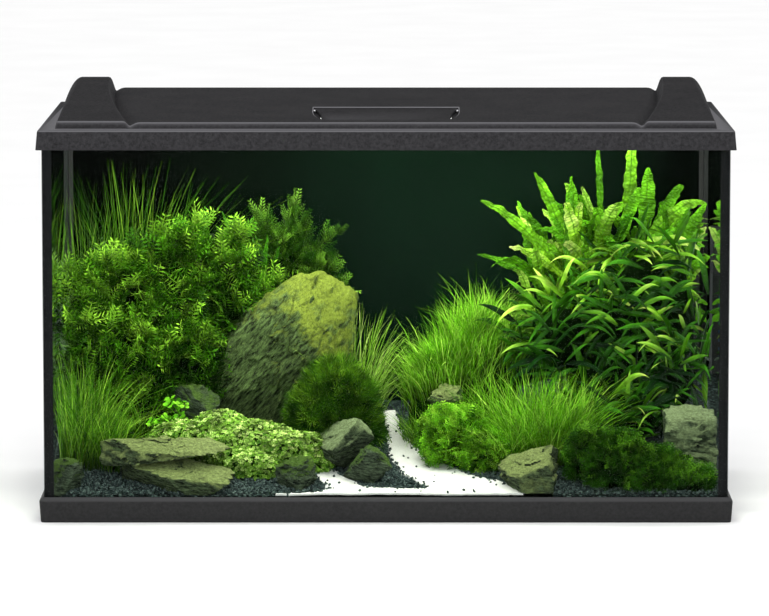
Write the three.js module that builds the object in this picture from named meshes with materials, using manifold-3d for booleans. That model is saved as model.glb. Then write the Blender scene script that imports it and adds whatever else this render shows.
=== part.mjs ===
// A 60 cm planted starter aquarium: a glued glass tank in a moulded plastic base frame, a lift-off hood with
// a feeding hatch and an LED lamp under it, an internal filter, a heater, and an aquascape of gravel, sand,
// rocks and plants. Millimetres, +Z up, the front looks along -Y, the origin is under the middle of the base.
import * as THREE from "three";
import { mergeVertices } from "three/addons/utils/BufferGeometryUtils.js";
import Module from "manifold-3d";

const wasm = await Module();
wasm.setup();

// ---- Driving dimensions ----
const GAP = 0.3; // between pieces that touch
const TANK_WIDTH = 600; // glass, outside
const TANK_DEPTH = 310; // glass, outside
const PANE_HEIGHT = 329;
const PANE = 4; // wall panes
const FLOOR_PANE = 5; // bottom pane
const SEAM = 1.6; // silicone joint between two panes
const SEAM_LEG = 4; // fillet of silicone inside a corner
const SEAT_Z = 9; // base frame's ledge, which the glass stands on
const FRAME_TOP_Z = 22.3;
const FRAME_WALL = 3;
const FRAME_LEDGE = 16; // how far the ledge reaches in under the glass
const FRAME_LEDGE_THICK = 2.5;
const FRAME_FLARE = 1.4; // the frame's wall leans out towards its top
const FILM = 0.5; // background film on the back pane
const HOOD_OVERHANG = 5; // hood outside the glass, each side
const SKIRT_DROP = 17; // hood's rim face
const SKIRT_LAP = 10.3; // how far the rim covers the glass
const HOOD_WALL = 2.5;
const SKIRT_LEAN = 1.6;
const LEDGE = 17; // flat step between the rim and the raised top
const TOP_FRONT_RISE = 6; // raised top above the step at its front edge
const TOP_BACK_RISE = 18; // and at its back edge
const HORN_FRONT_RISE = 7; // the two side horns
const HORN_BACK_RISE = 28;
const VALLEY = 3; // groove between the top and a horn
const REAR_LEDGE = 18;
const HATCH_LENGTH = 81; // front to back
const HATCH_HALF_REAR = 63.7;
const HATCH_HALF_FRONT = 51;
const HATCH_FRONT = 37; // from the hood's front
const HATCH_THICK = 2.5;
const HATCH_SUNK = 1.2; // below the hood's top
const HATCH_GAP = 0.8; // round the hatch
const FINGER_GAP = 3; // extra at each end, to lift it by
const HATCH_PIN = 1.2; // radius
const RUNNING = 0.3; // round a pin that turns
const HATCH_RING = 5; // thick margin of the hood round the hatch
const LAMP_MARGIN = 50; // from the glass's outside to the lamp's end
const LAMP_WIDTH = 40;
const LAMP_HEIGHT = 11;
const LAMP_CLEARANCE = 4.2; // between the lamp and the hatch's margin
const LAMP_BOSS = 4; // length of the bosses the lamp is screwed up to
const HANGER_INSET = 50; // from the lamp's end to its hanger
const HANGER_THICK = 2;
const SCREW = 1.25; // shank's radius
const SCREW_HEAD = 3; // radius
const SCREW_HEAD_THICK = 1.3;
const FILTER_WIDTH = 38;
const FILTER_WALL = 1.8;
const CANISTER_HEIGHT = 92;
const FILTER_HEAD_HEIGHT = 42;
const FILTER_OFF_GLASS = 9; // behind it, for its bracket and suction cup
const FILTER_OFF_SIDE = 6;
const HEATER_RADIUS = 9;
const HEATER_TUBE = 112;
const HEATER_OFF_GLASS = 6;
const ABOVE_GRAVEL = 2; // filter and heater
const SAND_DEPTH = 7;
const SEAM_CLEARANCE = 1.5; // between the gravel and the silicone in a corner

// ---- Places worked out from them ----
const halfW = TANK_WIDTH / 2;
const halfD = TANK_DEPTH / 2;
const innerX = halfW - PANE;
const innerY = halfD - PANE;
const glassZ = SEAT_Z + GAP;
const glassTop = glassZ + PANE_HEIGHT;
const floorTop = glassZ + FLOOR_PANE;
const hoodX = halfW + HOOD_OVERHANG;
const hoodY = halfD + HOOD_OVERHANG;
const skirtZ = glassTop - SKIRT_LAP;
const ledgeZ = skirtZ + SKIRT_DROP;
const topFrontY = -hoodY + LEDGE + 1.5;
const topBackY = hoodY - 70; // where the top and the horns are highest
const topSlope = Math.atan((TOP_BACK_RISE - TOP_FRONT_RISE) / (topBackY - topFrontY));
// The planting is drawn for this inside, with heights above the bottom pane, and stretches with the tank.
const plan = { width: 592, depth: 302, height: 324 };
const stretch = [(2 * innerX) / plan.width, (2 * innerY) / plan.depth, (glassTop - floorTop) / plan.height];

// ---- Materials ----
const finish = (color, roughness, metalness = 0, extra = {}) =>
  new THREE.MeshStandardMaterial({ color, roughness, metalness, ...extra });
const black = finish(0x37373a, 0.55);
const satinBlack = finish(0x2b2b2d, 0.6);
const clear = finish(0xe6f2ee, 0.05, 0, { transparent: true, opacity: 0.25 });
const silicone = finish(0x0d0d0e, 0.5);
const film = finish(0x06100e, 0.8);
const steel = finish(0xb9bcc0, 0.3, 1);
const white = finish(0xe9ecee, 0.5);
const opal = finish(0xf6f8fa, 0.35);
const foam = finish(0x1d3d6a, 0.95);
const rubber = finish(0x1a1b1d, 0.7);
const gravel = finish(0x2c3d3c, 0.9);
const sand = finish(0xf1f1ea, 0.95);
const stone = finish(0x76804a, 0.9);
const leafDark = finish(0x2d5c14, 0.7);
const leafMid = finish(0x4b9014, 0.65);
const leafBright = finish(0x86bf2c, 0.6);

// ---- Solids ----
const solidOf = (geometry) => {
  const bare = geometry.clone();
  bare.deleteAttribute("normal");
  bare.deleteAttribute("uv");
  const merged = mergeVertices(bare, 1e-4);
  return new wasm.Manifold(
    new wasm.Mesh({
      numProp: 3,
      vertProperties: new Float32Array(merged.attributes.position.array),
      triVerts: new Uint32Array(merged.index.array),
    }),
  );
};
const geometryOf = (solid) => {
  const mesh = solid.getMesh();
  const geometry = new THREE.BufferGeometry();
  geometry.setAttribute("position", new THREE.BufferAttribute(mesh.vertProperties, 3));
  geometry.setIndex(new THREE.BufferAttribute(mesh.triVerts, 1));
  geometry.computeVertexNormals();
  return geometry;
};
const join = (...solids) => solids.reduce((all, next) => all.add(next));
const cut = (body, ...tools) => tools.reduce((left, tool) => left.subtract(tool), body);
const between = ([x0, x1], [y0, y1], [z0, z1]) =>
  new THREE.BoxGeometry(x1 - x0, y1 - y0, z1 - z0).translate((x0 + x1) / 2, (y0 + y1) / 2, (z0 + z1) / 2);
const outline = (points) => new THREE.Shape(points.map(([a, b]) => new THREE.Vector2(a, b)));
const extrude = (points, depth) =>
  new THREE.ExtrudeGeometry(outline(points), { depth, bevelEnabled: false, steps: 1 });
const prismUp = (points, z0, z1) => extrude(points, z1 - z0).translate(0, 0, z0); // points are (x, y)
const prismAcross = (points, x0, x1) => {
  const turned = new THREE.Matrix4().makeBasis(
    new THREE.Vector3(0, 1, 0),
    new THREE.Vector3(0, 0, 1),
    new THREE.Vector3(1, 0, 0),
  );
  return extrude(points, x1 - x0).applyMatrix4(turned).translate(x0, 0, 0); // points are (y, z)
};
const rod = (radius, z0, z1, sides = 16, topRadius = radius) =>
  new THREE.CylinderGeometry(topRadius, radius, z1 - z0, sides).rotateX(Math.PI / 2).translate(0, 0, (z0 + z1) / 2);
const rodAcross = (radius, x0, x1, sides = 16) =>
  new THREE.CylinderGeometry(radius, radius, x1 - x0, sides).rotateZ(Math.PI / 2).translate((x0 + x1) / 2, 0, 0);

const part = new THREE.Group();
const add = (group, name, shape, material) => {
  const mesh = new THREE.Mesh(shape instanceof THREE.BufferGeometry ? shape : geometryOf(shape), material);
  mesh.name = name;
  group.add(mesh);
};

// A closed solid over a grid of rows of [x, y, z] points whose outer edge lies flat at one height.
function gridSolid(rows) {
  const columns = rows[0].length;
  const points = rows.flat();
  const rim = [];
  for (let i = 0; i < columns; i++) rim.push(i);
  for (let j = 1; j < rows.length; j++) rim.push(j * columns + columns - 1);
  for (let i = columns - 2; i >= 0; i--) rim.push((rows.length - 1) * columns + i);
  for (let j = rows.length - 2; j > 0; j--) rim.push(j * columns);
  const faces = [];
  for (let j = 0; j + 1 < rows.length; j++) {
    for (let i = 0; i + 1 < columns; i++) {
      const a = j * columns + i;
      faces.push(a, a + 1, a + columns + 1, a, a + columns + 1, a + columns);
    }
  }
  const middle = points.length;
  points.push([0, 0, rows[0][0][2]]);
  rim.forEach((from, k) => faces.push(from, middle, rim[(k + 1) % rim.length]));
  const geometry = new THREE.BufferGeometry();
  geometry.setAttribute("position", new THREE.Float32BufferAttribute(points.flat(), 3));
  geometry.setIndex(faces);
  return solidOf(geometry);
}

// ---- Base frame ----
// Its section, as (how far outside the glass, height), goes round the four sides with mitred corners.
function baseFrame(group) {
  const flareTop = FRAME_WALL + FRAME_FLARE;
  const section = [
    [FRAME_WALL, 0],
    [flareTop, FRAME_TOP_Z - 4],
    [flareTop - 0.6, FRAME_TOP_Z - 2],
    [flareTop - 3, FRAME_TOP_Z],
    [GAP, FRAME_TOP_Z],
    [GAP, SEAT_Z],
    [-FRAME_LEDGE, SEAT_Z],
    [-FRAME_LEDGE, SEAT_Z - FRAME_LEDGE_THICK],
    [0, SEAT_Z - FRAME_LEDGE_THICK],
    [0, 0],
  ];
  const corners = [
    [1, -1],
    [1, 1],
    [-1, 1],
    [-1, -1],
  ];
  const points = corners.flatMap(([sx, sy]) => section.map(([out, z]) => [sx * (halfW + out), sy * (halfD + out), z]));
  const faces = [];
  corners.forEach((_, c) => {
    const here = c * section.length;
    const next = ((c + 1) % corners.length) * section.length;
    section.forEach((_, i) => {
      const j = (i + 1) % section.length;
      faces.push(here + i, next + i, next + j, here + i, next + j, here + j);
    });
  });
  const geometry = new THREE.BufferGeometry();
  geometry.setAttribute("position", new THREE.Float32BufferAttribute(points.flat(), 3));
  geometry.setIndex(faces);
  add(group, "base_frame", solidOf(geometry), satinBlack);
}

// ---- Glass and silicone ----
// The front and back panes run the full width, and the side panes and the bottom pane stand between them.
function glass(group) {
  const height = [glassZ, glassTop];
  const sideEnd = innerY - SEAM;
  add(group, "front_pane", between([-halfW, halfW], [-halfD, -innerY], height), clear);
  add(group, "back_pane", between([-halfW, halfW], [innerY, halfD], height), clear);
  add(group, "left_pane", between([-halfW, -innerX], [-sideEnd, sideEnd], height), clear);
  add(group, "right_pane", between([innerX, halfW], [-sideEnd, sideEnd], height), clear);
  const floorX = innerX - SEAM;
  const floorY = innerY - SEAM;
  add(group, "bottom_pane", between([-floorX, floorX], [-floorY, floorY], [glassZ, floorTop]), clear);
  add(group, "background_film", between([-halfW, halfW], [halfD + GAP, halfD + GAP + FILM], [FRAME_TOP_Z + 1, skirtZ + 2]), film);
}

// A corner seam fills the joint behind a side pane's end and stands as a fillet inside the corner.
function seams(group) {
  const thick = SEAM - 2 * GAP;
  const section = [
    [GAP, GAP],
    [PANE + GAP + SEAM_LEG, GAP],
    [PANE + GAP, GAP + SEAM_LEG],
    [PANE + GAP, GAP + thick],
    [GAP, GAP + thick],
  ];
  const sides = { left: -1, right: 1 };
  const ends = { front: -1, back: 1 };
  for (const [end, sy] of Object.entries(ends)) {
    for (const [side, sx] of Object.entries(sides)) {
      const points = section.map(([a, b]) => [sx * (halfW - a), sy * (innerY - b)]);
      add(group, `seam_${end}_${side}`, prismUp(points, floorTop + GAP, glassTop), silicone);
    }
  }
  const loop = cut(
    solidOf(between([-innerX + GAP, innerX - GAP], [-innerY + GAP, innerY - GAP], [glassZ, floorTop])),
    solidOf(
      between(
        [-innerX + SEAM - GAP, innerX - SEAM + GAP],
        [-innerY + SEAM - GAP, innerY - SEAM + GAP],
        [glassZ - 1, floorTop + 1],
      ),
    ),
  );
  add(group, "seam_bottom", loop, silicone);
}

// ---- Hood ----
const share = (y) => Math.min(Math.max((y - topFrontY) / (topBackY - topFrontY), 0), 1);
// The top is wider at the back: the valley beside it swings out in a quarter wave.
const valleyX = (y) => halfW - 76.5 + 25 * Math.sin((share(y) * Math.PI) / 2);
const topRise = (y) => TOP_FRONT_RISE + (TOP_BACK_RISE - TOP_FRONT_RISE) * share(y);
const hornRise = (y) => HORN_FRONT_RISE + (HORN_BACK_RISE - HORN_FRONT_RISE) * share(y);

// Heights behind the highest row fall as a quarter ellipse to the rear step.
function rearDrop(y) {
  const reach = hoodY - REAR_LEDGE - topBackY;
  const t = Math.min(Math.max((y - topBackY) / reach, 0), 1);
  return Math.sqrt(1 - t * t);
}

// Half a row across the hood, from the middle out: [x, height above the step].
function halfRow(y) {
  const fall = rearDrop(y);
  const top = topRise(y) * fall;
  const horn = hornRise(y) * fall;
  const valley = Math.max(top - VALLEY * fall, 0);
  const groove = valleyX(y);
  const foot = hoodX - 16.2 + 7.7 * share(y);
  const shoulder = hoodX - 18.5 - 7.5 * share(y);
  const flank = foot - shoulder;
  return [
    [0, top],
    [groove - 6, top],
    [groove - 2, top - VALLEY * 0.7 * fall],
    [groove, valley],
    [groove + 3, valley + (horn - valley) * 0.6],
    [groove + 5.5, horn],
    [shoulder, horn],
    [shoulder + flank * 0.4, horn * 0.84],
    [shoulder + flank * 0.8, horn * 0.42],
    [foot, 0],
  ];
}

// The hood's outer skin as a solid block, or, inset by a wall, the hollow inside it.
function hoodBlock(wall) {
  const bottom = wall ? skirtZ - 8 : skirtZ;
  const step = ledgeZ - wall;
  const rimX = hoodX - SKIRT_LEAN - wall;
  const rimY = hoodY - SKIRT_LEAN - wall;
  const frontFoot = -hoodY + LEDGE + wall;
  const rearFoot = hoodY - REAR_LEDGE - wall;
  const inset = [0, 0, 0, 0, 0.65, 0.8, -0.8, -0.9, -1, -1].map((part) => part * wall);
  const across = (y, height) => {
    const half = halfRow(y).map(([x, rise], i) => [x + inset[i], step + height(rise)]);
    half.push([rimX, step], [hoodX - wall, bottom]);
    return half;
  };
  const row = (y, height, at = y) => {
    const half = across(at, height);
    const left = half.slice(1).reverse();
    return [...left.map(([x, z]) => [-x, y, z]), ...half.map(([x, z]) => [x, y, z])];
  };
  const level = (z) => (points) => points.map(([x, y]) => [x, y, z]);
  const bodyRows = [0, 0.2, 0.42, 0.64, 0.84, 1].map((t) => topFrontY + wall + (topBackY - topFrontY - wall) * t);
  const rearRows = [0.3, 0.55, 0.75, 0.9].map((t) => topBackY + (rearFoot - topBackY) * t);
  return gridSolid([
    level(bottom)(row(-hoodY + wall, () => 0, topFrontY)),
    row(-rimY, () => 0, topFrontY),
    row(frontFoot, () => 0, topFrontY),
    ...bodyRows.map((y) => row(y, (rise) => rise)),
    ...rearRows.map((y) => row(y, (rise) => rise)),
    row(rearFoot, () => 0, topBackY),
    row(rimY, () => 0, topBackY),
    level(bottom)(row(hoodY - wall, () => 0, topBackY)),
  ]);
}

// Hatch outlines, in the top's own plane: y runs back from the hatch's rear edge, so the front is negative.
const hatchHalf = (s) =>
  s < 0.3 ? HATCH_HALF_REAR : HATCH_HALF_FRONT + (HATCH_HALF_REAR - HATCH_HALF_FRONT) * Math.sqrt(1 - ((s - 0.3) / 0.7) ** 2);
function hatchOutline(spread, endGap) {
  const steps = [0, 0.15, 0.3, 0.5, 0.7, 0.85, 0.95, 1];
  const side = steps.map((s) => [
    hatchHalf(s) + spread - endGap * Math.sin(Math.PI * s),
    spread - s * (HATCH_LENGTH + 2 * spread),
  ]);
  return [...side.map(([x, y]) => [x, y]), ...side.map(([x, y]) => [-x, y]).reverse()].reverse();
}
const hatchRearY = -hoodY + HATCH_FRONT + HATCH_LENGTH;
const hatchKnuckle = HATCH_THICK - 0.3; // radius
const hatchPlaneZ = ledgeZ + topRise(hatchRearY);
const hatchAxis = { y: -hatchKnuckle, z: -HATCH_SUNK - hatchKnuckle };
const intoTop = new THREE.Matrix4()
  .makeTranslation(0, hatchRearY, hatchPlaneZ)
  .multiply(new THREE.Matrix4().makeRotationX(topSlope));
const hatchSeat = HATCH_SUNK + HATCH_THICK + 0.6; // depths below the top
const hatchUnder = HATCH_SUNK + 2 * hatchKnuckle + HATCH_GAP + 2.6;

// The lamp hangs from two bosses under the hood's top, behind the hatch.
const lampHalf = halfW - LAMP_MARGIN;
const lampY = hatchRearY + HATCH_GAP + HATCH_RING + LAMP_CLEARANCE + LAMP_WIDTH / 2 + HANGER_THICK;
const hangerXs = { left: HANGER_INSET - lampHalf, right: lampHalf - HANGER_INSET };
const lampRoof = ledgeZ + topRise(lampY); // hood's outside above the lamp
const bossBottom = lampRoof - HOOD_WALL - LAMP_BOSS;
const hangerBottom = bossBottom - GAP - HANGER_THICK;
const lampTop = hangerBottom - SCREW_HEAD_THICK - 2 * GAP;
const lampBottom = lampTop - LAMP_HEIGHT;
const screwReach = LAMP_BOSS - 0.5; // into the boss

function hoodShell(group) {
  const inTop = (geometry) => solidOf(geometry.applyMatrix4(intoTop));
  const thickening = inTop(prismUp(hatchOutline(HATCH_GAP + HATCH_RING, 0), -hatchUnder, -HOOD_WALL / 2));
  const recess = inTop(prismUp(hatchOutline(HATCH_GAP, 0), -hatchSeat, 12));
  const through = inTop(prismUp(hatchOutline(-HATCH_RING, 0), -hatchUnder - 5, 12));
  const knuckleRoom = inTop(
    between(
      [-HATCH_HALF_REAR - HATCH_GAP, HATCH_HALF_REAR + HATCH_GAP],
      [-2 * hatchKnuckle - HATCH_GAP, HATCH_GAP],
      [hatchAxis.z - hatchKnuckle - HATCH_GAP, 0],
    ),
  );
  const pinHole = inTop(
    rodAcross(HATCH_PIN + RUNNING, -HATCH_HALF_REAR - 4, HATCH_HALF_REAR + 4).translate(0, hatchAxis.y, hatchAxis.z),
  );
  // Ribs that rest on the glass all round.
  const ribIn = halfW - 6;
  const ribInY = halfD - 5.5;
  const ribHeight = [glassTop + GAP, ledgeZ - HOOD_WALL + 1];
  const rim = { x: hoodX - SKIRT_LEAN - 1, y: hoodY - SKIRT_LEAN - 1 };
  const ribs = cut(
    solidOf(between([-rim.x, rim.x], [-rim.y, rim.y], ribHeight)),
    solidOf(between([-ribIn, ribIn], [-ribInY, ribInY], [ribHeight[0] - 1, ribHeight[1] + 1])),
  );
  const bosses = Object.values(hangerXs).map((x) =>
    solidOf(rod(SCREW + 3.75, bossBottom, lampRoof - HOOD_WALL / 2, 12).translate(x, lampY, 0)),
  );
  const pilots = Object.values(hangerXs).map((x) =>
    solidOf(rod(SCREW + GAP, bossBottom - 1, bossBottom + screwReach + GAP, 12).translate(x, lampY, 0)),
  );
  // Two notches at the back for hoses and cables.
  const notches = [-1, 1].map((side) => {
    const x = side * (halfW - 90);
    return solidOf(between([x - 20, x + 20], [hoodY - REAR_LEDGE - 2, hoodY + 5], [skirtZ - 5, ledgeZ + 5]));
  });
  const shell = join(cut(hoodBlock(0), hoodBlock(HOOD_WALL)), ribs, thickening, ...bosses);
  add(group, "hood_shell", cut(shell, recess, through, knuckleRoom, pinHole, ...pilots, ...notches), black);
}

function feedingHatch(group) {
  const top = -HATCH_SUNK;
  const plate = solidOf(prismUp(hatchOutline(0, FINGER_GAP), top - HATCH_THICK, top));
  const trim = solidOf(between([-200, 200], [hatchAxis.y, 50], [-50, 50]));
  const length = HATCH_HALF_REAR - 1;
  const knuckle = solidOf(rodAcross(hatchKnuckle, -length, length, 12).translate(0, hatchAxis.y, hatchAxis.z));
  const bore = solidOf(rodAcross(HATCH_PIN + RUNNING, -length - 1, length + 1).translate(0, hatchAxis.y, hatchAxis.z));
  add(group, "feeding_hatch", cut(join(cut(plate, trim), knuckle), bore), black);
  for (const [side, sx] of [["left", -1], ["right", 1]]) {
    const reach = [HATCH_HALF_REAR - 12, HATCH_HALF_REAR + 3.5].map((x) => x * sx).sort((a, b) => a - b);
    add(group, `hatch_pin_${side}`, rodAcross(HATCH_PIN, ...reach, 12).translate(0, hatchAxis.y, hatchAxis.z), steel);
  }
}

// ---- Lamp ----
function lamp(group) {
  const half = LAMP_WIDTH / 2;
  const wall = 1.6;
  const ends = lampHalf;
  const channel = [
    [-half, 0],
    [-half + wall, 0],
    [-half + wall, LAMP_HEIGHT - wall],
    [half - wall, LAMP_HEIGHT - wall],
    [half - wall, 0],
    [half, 0],
    [half, LAMP_HEIGHT],
    [-half, LAMP_HEIGHT],
  ];
  add(group, "light_housing", prismAcross(channel, -ends, ends), white);

  const boardHalf = half - wall - GAP;
  const boardTop = LAMP_HEIGHT - wall - GAP;
  const board = solidOf(between([-ends + 2, ends - 2], [-boardHalf, boardHalf], [boardTop - 1.6, boardTop]));
  const count = Math.round((2 * ends) / 25) - 1;
  const chips = [];
  for (let i = 0; i < count; i++) {
    const x = (i - (count - 1) / 2) * 25;
    chips.push(solidOf(between([x - 2.5, x + 2.5], [-2.5, 2.5], [boardTop - 2.8, boardTop - 1.5])));
  }
  add(group, "light_board", join(board, ...chips), white);
  add(group, "light_lens", between([-ends + 1, ends - 1], [-boardHalf, boardHalf], [0.6, 2.6]), opal);

  for (const [side, sx] of [["left", -1], ["right", 1]]) {
    const inner = ends + GAP;
    const cap = solidOf(between([sx * inner, sx * (inner + 6)].sort((a, b) => a - b), [-half, half], [0, LAMP_HEIGHT]));
    const inlet = solidOf(rodAcross(2.2, sx * inner - 10, sx * inner + 10).translate(0, 0, LAMP_HEIGHT / 2));
    add(group, `light_end_cap_${side}`, side === "right" ? cut(cap, inlet) : cap, satinBlack);
  }
  const gland = [
    [0, 1.9],
    [0, 4.5],
    [2, 4.5],
    [2, 3.6],
    [13, 2.8],
    [13, 1.9],
  ];
  const profile = [...gland, gland[0]].map(([along, radius]) => new THREE.Vector2(radius, along));
  const turned = new THREE.LatheGeometry(profile, 16).rotateZ(-Math.PI / 2);
  add(group, "light_cable_gland", turned.translate(ends + 6 + 2 * GAP, 0, LAMP_HEIGHT / 2), rubber);
}

function lampHangers(group) {
  const half = LAMP_WIDTH / 2 + GAP;
  const leg = HANGER_THICK;
  const hook = 2.5;
  const low = lampBottom - GAP;
  const hangerTop = hangerBottom + HANGER_THICK;
  const clip = [
    [-half - leg, hangerTop],
    [-half - leg, low - leg],
    [-half + hook, low - leg],
    [-half + hook, low],
    [-half, low],
    [-half, hangerBottom],
    [half, hangerBottom],
    [half, low],
    [half - hook, low],
    [half - hook, low - leg],
    [half + leg, low - leg],
    [half + leg, hangerTop],
  ];
  for (const [side, x] of Object.entries(hangerXs)) {
    const strap = solidOf(prismAcross(clip, x - 8, x + 8).translate(0, lampY, 0));
    const hole = solidOf(rod(SCREW + GAP, hangerBottom - 1, hangerTop + 1).translate(x, lampY, 0));
    add(group, `light_bracket_${side}`, cut(strap, hole), white);
    const headTop = hangerBottom - GAP;
    const head = solidOf(rod(SCREW_HEAD, headTop - SCREW_HEAD_THICK, headTop, 12));
    const shank = solidOf(rod(SCREW, headTop - 0.5, bossBottom + screwReach, 12));
    add(group, `light_screw_${side}`, geometryOf(join(head, shank)).translate(x, lampY, 0), steel);
  }
}

// ---- Internal filter, in a group whose origin is under the middle of its canister ----
const filterX = innerX - FILTER_OFF_SIDE - FILTER_WIDTH / 2;
const filterY = innerY - FILTER_OFF_GLASS - FILTER_WIDTH / 2;
function filter(group) {
  const canister = CANISTER_HEIGHT;
  const wall = FILTER_WALL;
  const head = FILTER_HEAD_HEIGHT;
  const hx = FILTER_WIDTH / 2;
  const hy = hx;
  const body = solidOf(between([-hx, hx], [-hy, hy], [0, canister]));
  const hollow = solidOf(between([-hx + wall, hx - wall], [-hy + wall, hy - wall], [wall, canister + 1]));
  const slots = [];
  for (let z = 14; z < canister - 14; z += 8) {
    slots.push(solidOf(between([-hx + 6, hx - 6], [-hy - 1, -hy + wall + 1], [z, z + 3])));
    slots.push(solidOf(between([-hx - 1, -hx + wall + 1], [-hy + 6, hy - 6], [z, z + 3])));
  }
  add(group, "filter_canister", cut(body, hollow, ...slots), satinBlack);
  const pad = wall + GAP;
  add(group, "filter_sponge", between([-hx + pad, hx - pad], [-hy + pad, hy - pad], [pad, canister - 4]), foam);

  const base = canister + GAP;
  const chamber = { radius: 12, height: 24 };
  const housing = solidOf(between([-hx, hx], [-hy, hy], [base, base + head]));
  const room = solidOf(rod(chamber.radius, base - 1, base + chamber.height, 20));
  const intake = solidOf(between([-hx - 1, hx + 1], [-hy - 1, -hy + 3], [base + head - 8, base + head + 1]));
  add(group, "filter_head", cut(housing, room, intake), black);

  const hub = solidOf(rod(3.4, base + 2, base + chamber.height - 2, 12));
  const vanes = [0, 1].map((turn) =>
    solidOf(between([-10, 10], [-0.8, 0.8], [base + 3, base + 12]).rotateZ((turn * Math.PI) / 2 + 0.2)),
  );
  add(group, "filter_impeller", join(hub, ...vanes), white);

  const nozzleZ = base + head + GAP;
  const pivot = solidOf(rod(6.5, 0, 10, 16));
  const spout = solidOf(new THREE.CylinderGeometry(4, 5, 20, 12).translate(0, -9, 5.4));
  const bore = solidOf(new THREE.CylinderGeometry(2.6, 2.6, 20, 12).translate(0, -12, 5.4));
  add(group, "filter_nozzle", geometryOf(cut(join(pivot, spout), bore)).translate(0, 0, nozzleZ), black);
}

// The bracket stays on the back pane, and the filter lifts up out of its two rails.
function filterBracket(group) {
  const side = FILTER_WIDTH / 2 - 3;
  const back = FILTER_WIDTH / 2 + GAP;
  add(group, "filter_bracket", between([-side, side], [back, back + 3], [20, CANISTER_HEIGHT + 20]), satinBlack);
  const room = innerY - filterY - back - 3;
  const cup = [
    [0, 0],
    [5, 0],
    [5, room * 0.45],
    [14, room - 0.9],
    [14, room - GAP],
    [0, room - GAP],
  ].map(([radius, along]) => new THREE.Vector2(radius, along));
  const turned = new THREE.LatheGeometry(cup, 20).translate(0, back + 3 + GAP / 2, 66);
  add(group, "filter_suction_cup", turned, rubber);
}

// ---- Heater, in a group whose origin is under its tube ----
const heaterX = -168 * stretch[0];
const heaterY = innerY - HEATER_OFF_GLASS - HEATER_RADIUS;
function heater(group) {
  const radius = HEATER_RADIUS;
  const tube = HEATER_TUBE;
  const body = [
    [0, 0],
    [radius * 0.6, 1.5],
    [radius, 6],
    [radius, tube],
    [0, tube],
  ].map(([r, z]) => new THREE.Vector2(r, z));
  add(group, "heater_tube", new THREE.LatheGeometry(body, 20).rotateX(Math.PI / 2), clear);
  const grips = 12;
  const knob = [];
  for (let i = 0; i < 2 * grips; i++) {
    const turn = (i * Math.PI) / grips;
    const r = radius - 0.5 - (i % 2);
    knob.push([r * Math.cos(turn), r * Math.sin(turn)]);
  }
  add(group, "heater_dial", prismUp(knob, tube + GAP, tube + 14), black);
  const wallY = innerY - heaterY - GAP;
  const ring = solidOf(rod(radius + 3, 60, 72, 20));
  const foot = solidOf(between([-6, 6], [radius, wallY], [58, 74]));
  add(group, "heater_holder", cut(join(ring, foot), solidOf(rod(radius + GAP, 50, 80, 20))), rubber);
}

// ---- Aquascape ----
const inTank = (geometry) => geometry.scale(...stretch).translate(0, 0, floorTop);

// The ground rises to the back, and a little more towards both sides.
function ground(x, y) {
  const back = (y + innerY) / (2 * innerY);
  const aside = Math.min(Math.abs(x / stretch[0] - 12) / 170, 1);
  return floorTop + (10 + 42 * back + 30 * back * aside * aside) * stretch[2];
}

// A block from the bottom pane up to the ground, raised or lowered, that stops short of the glass.
function groundBlock(lift, short, bottom) {
  const edgeX = innerX - short;
  const edgeY = innerY - short;
  const across = [0, 0.12, 0.26, 0.42, 0.6, 0.8, 1].map((t) => t * edgeX);
  const xs = [...across.slice(1).reverse().map((x) => -x), ...across];
  const ys = [-1, -0.7, -0.4, -0.1, 0.2, 0.5, 0.78, 1].map((t) => t * edgeY);
  const hair = 0.01; // the block's foot is this much wider, so that no face is doubled
  const footX = edgeX + hair;
  const rows = ys.map((y) => [[-footX, y, bottom], ...xs.map((x) => [x, y, ground(x, y) + lift]), [footX, y, bottom]]);
  const foot = (y) => [[-footX, y, bottom], ...xs.map((x) => [x, y, bottom]), [footX, y, bottom]];
  return gridSolid([foot(-edgeY - hair), ...rows, foot(edgeY + hair)]);
}

// Where the white sand lies, seen from above: a path that winds to the back, with a side branch.
const sandPath = [
  [-119, -170],
  [-119, -151],
  [-70, -134],
  [-62, -100],
  [-66, -68],
  [-54, -66],
  [-40, -95],
  [-20, -128],
  [30, -138],
  [36, -128],
  [15, -92],
  [5, -50],
  [2, -10],
  [0, 40],
  [-2, 110],
  [8, 110],
  [16, 40],
  [24, -10],
  [36, -50],
  [55, -90],
  [70, -110],
  [105, -130],
  [147, -151],
  [147, -170],
].map(([x, y]) => [x * stretch[0], y * stretch[1]]);

// The outline moved inwards by a distance; its points run anticlockwise or clockwise.
function shrunk(points, distance) {
  const count = points.length;
  const area = points.reduce((sum, [x, y], i) => sum + x * points[(i + 1) % count][1] - points[(i + 1) % count][0] * y, 0);
  const normal = ([ax, ay], [bx, by]) => {
    const length = Math.hypot(bx - ax, by - ay) * Math.sign(area);
    return [(ay - by) / length, (bx - ax) / length];
  };
  return points.map((point, i) => {
    const before = normal(points[(i + count - 1) % count], point);
    const after = normal(point, points[(i + 1) % count]);
    const share = distance / (1 + before[0] * after[0] + before[1] * after[1]);
    return [point[0] + (before[0] + after[0]) * share, point[1] + (before[1] + after[1]) * share];
  });
}

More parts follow.
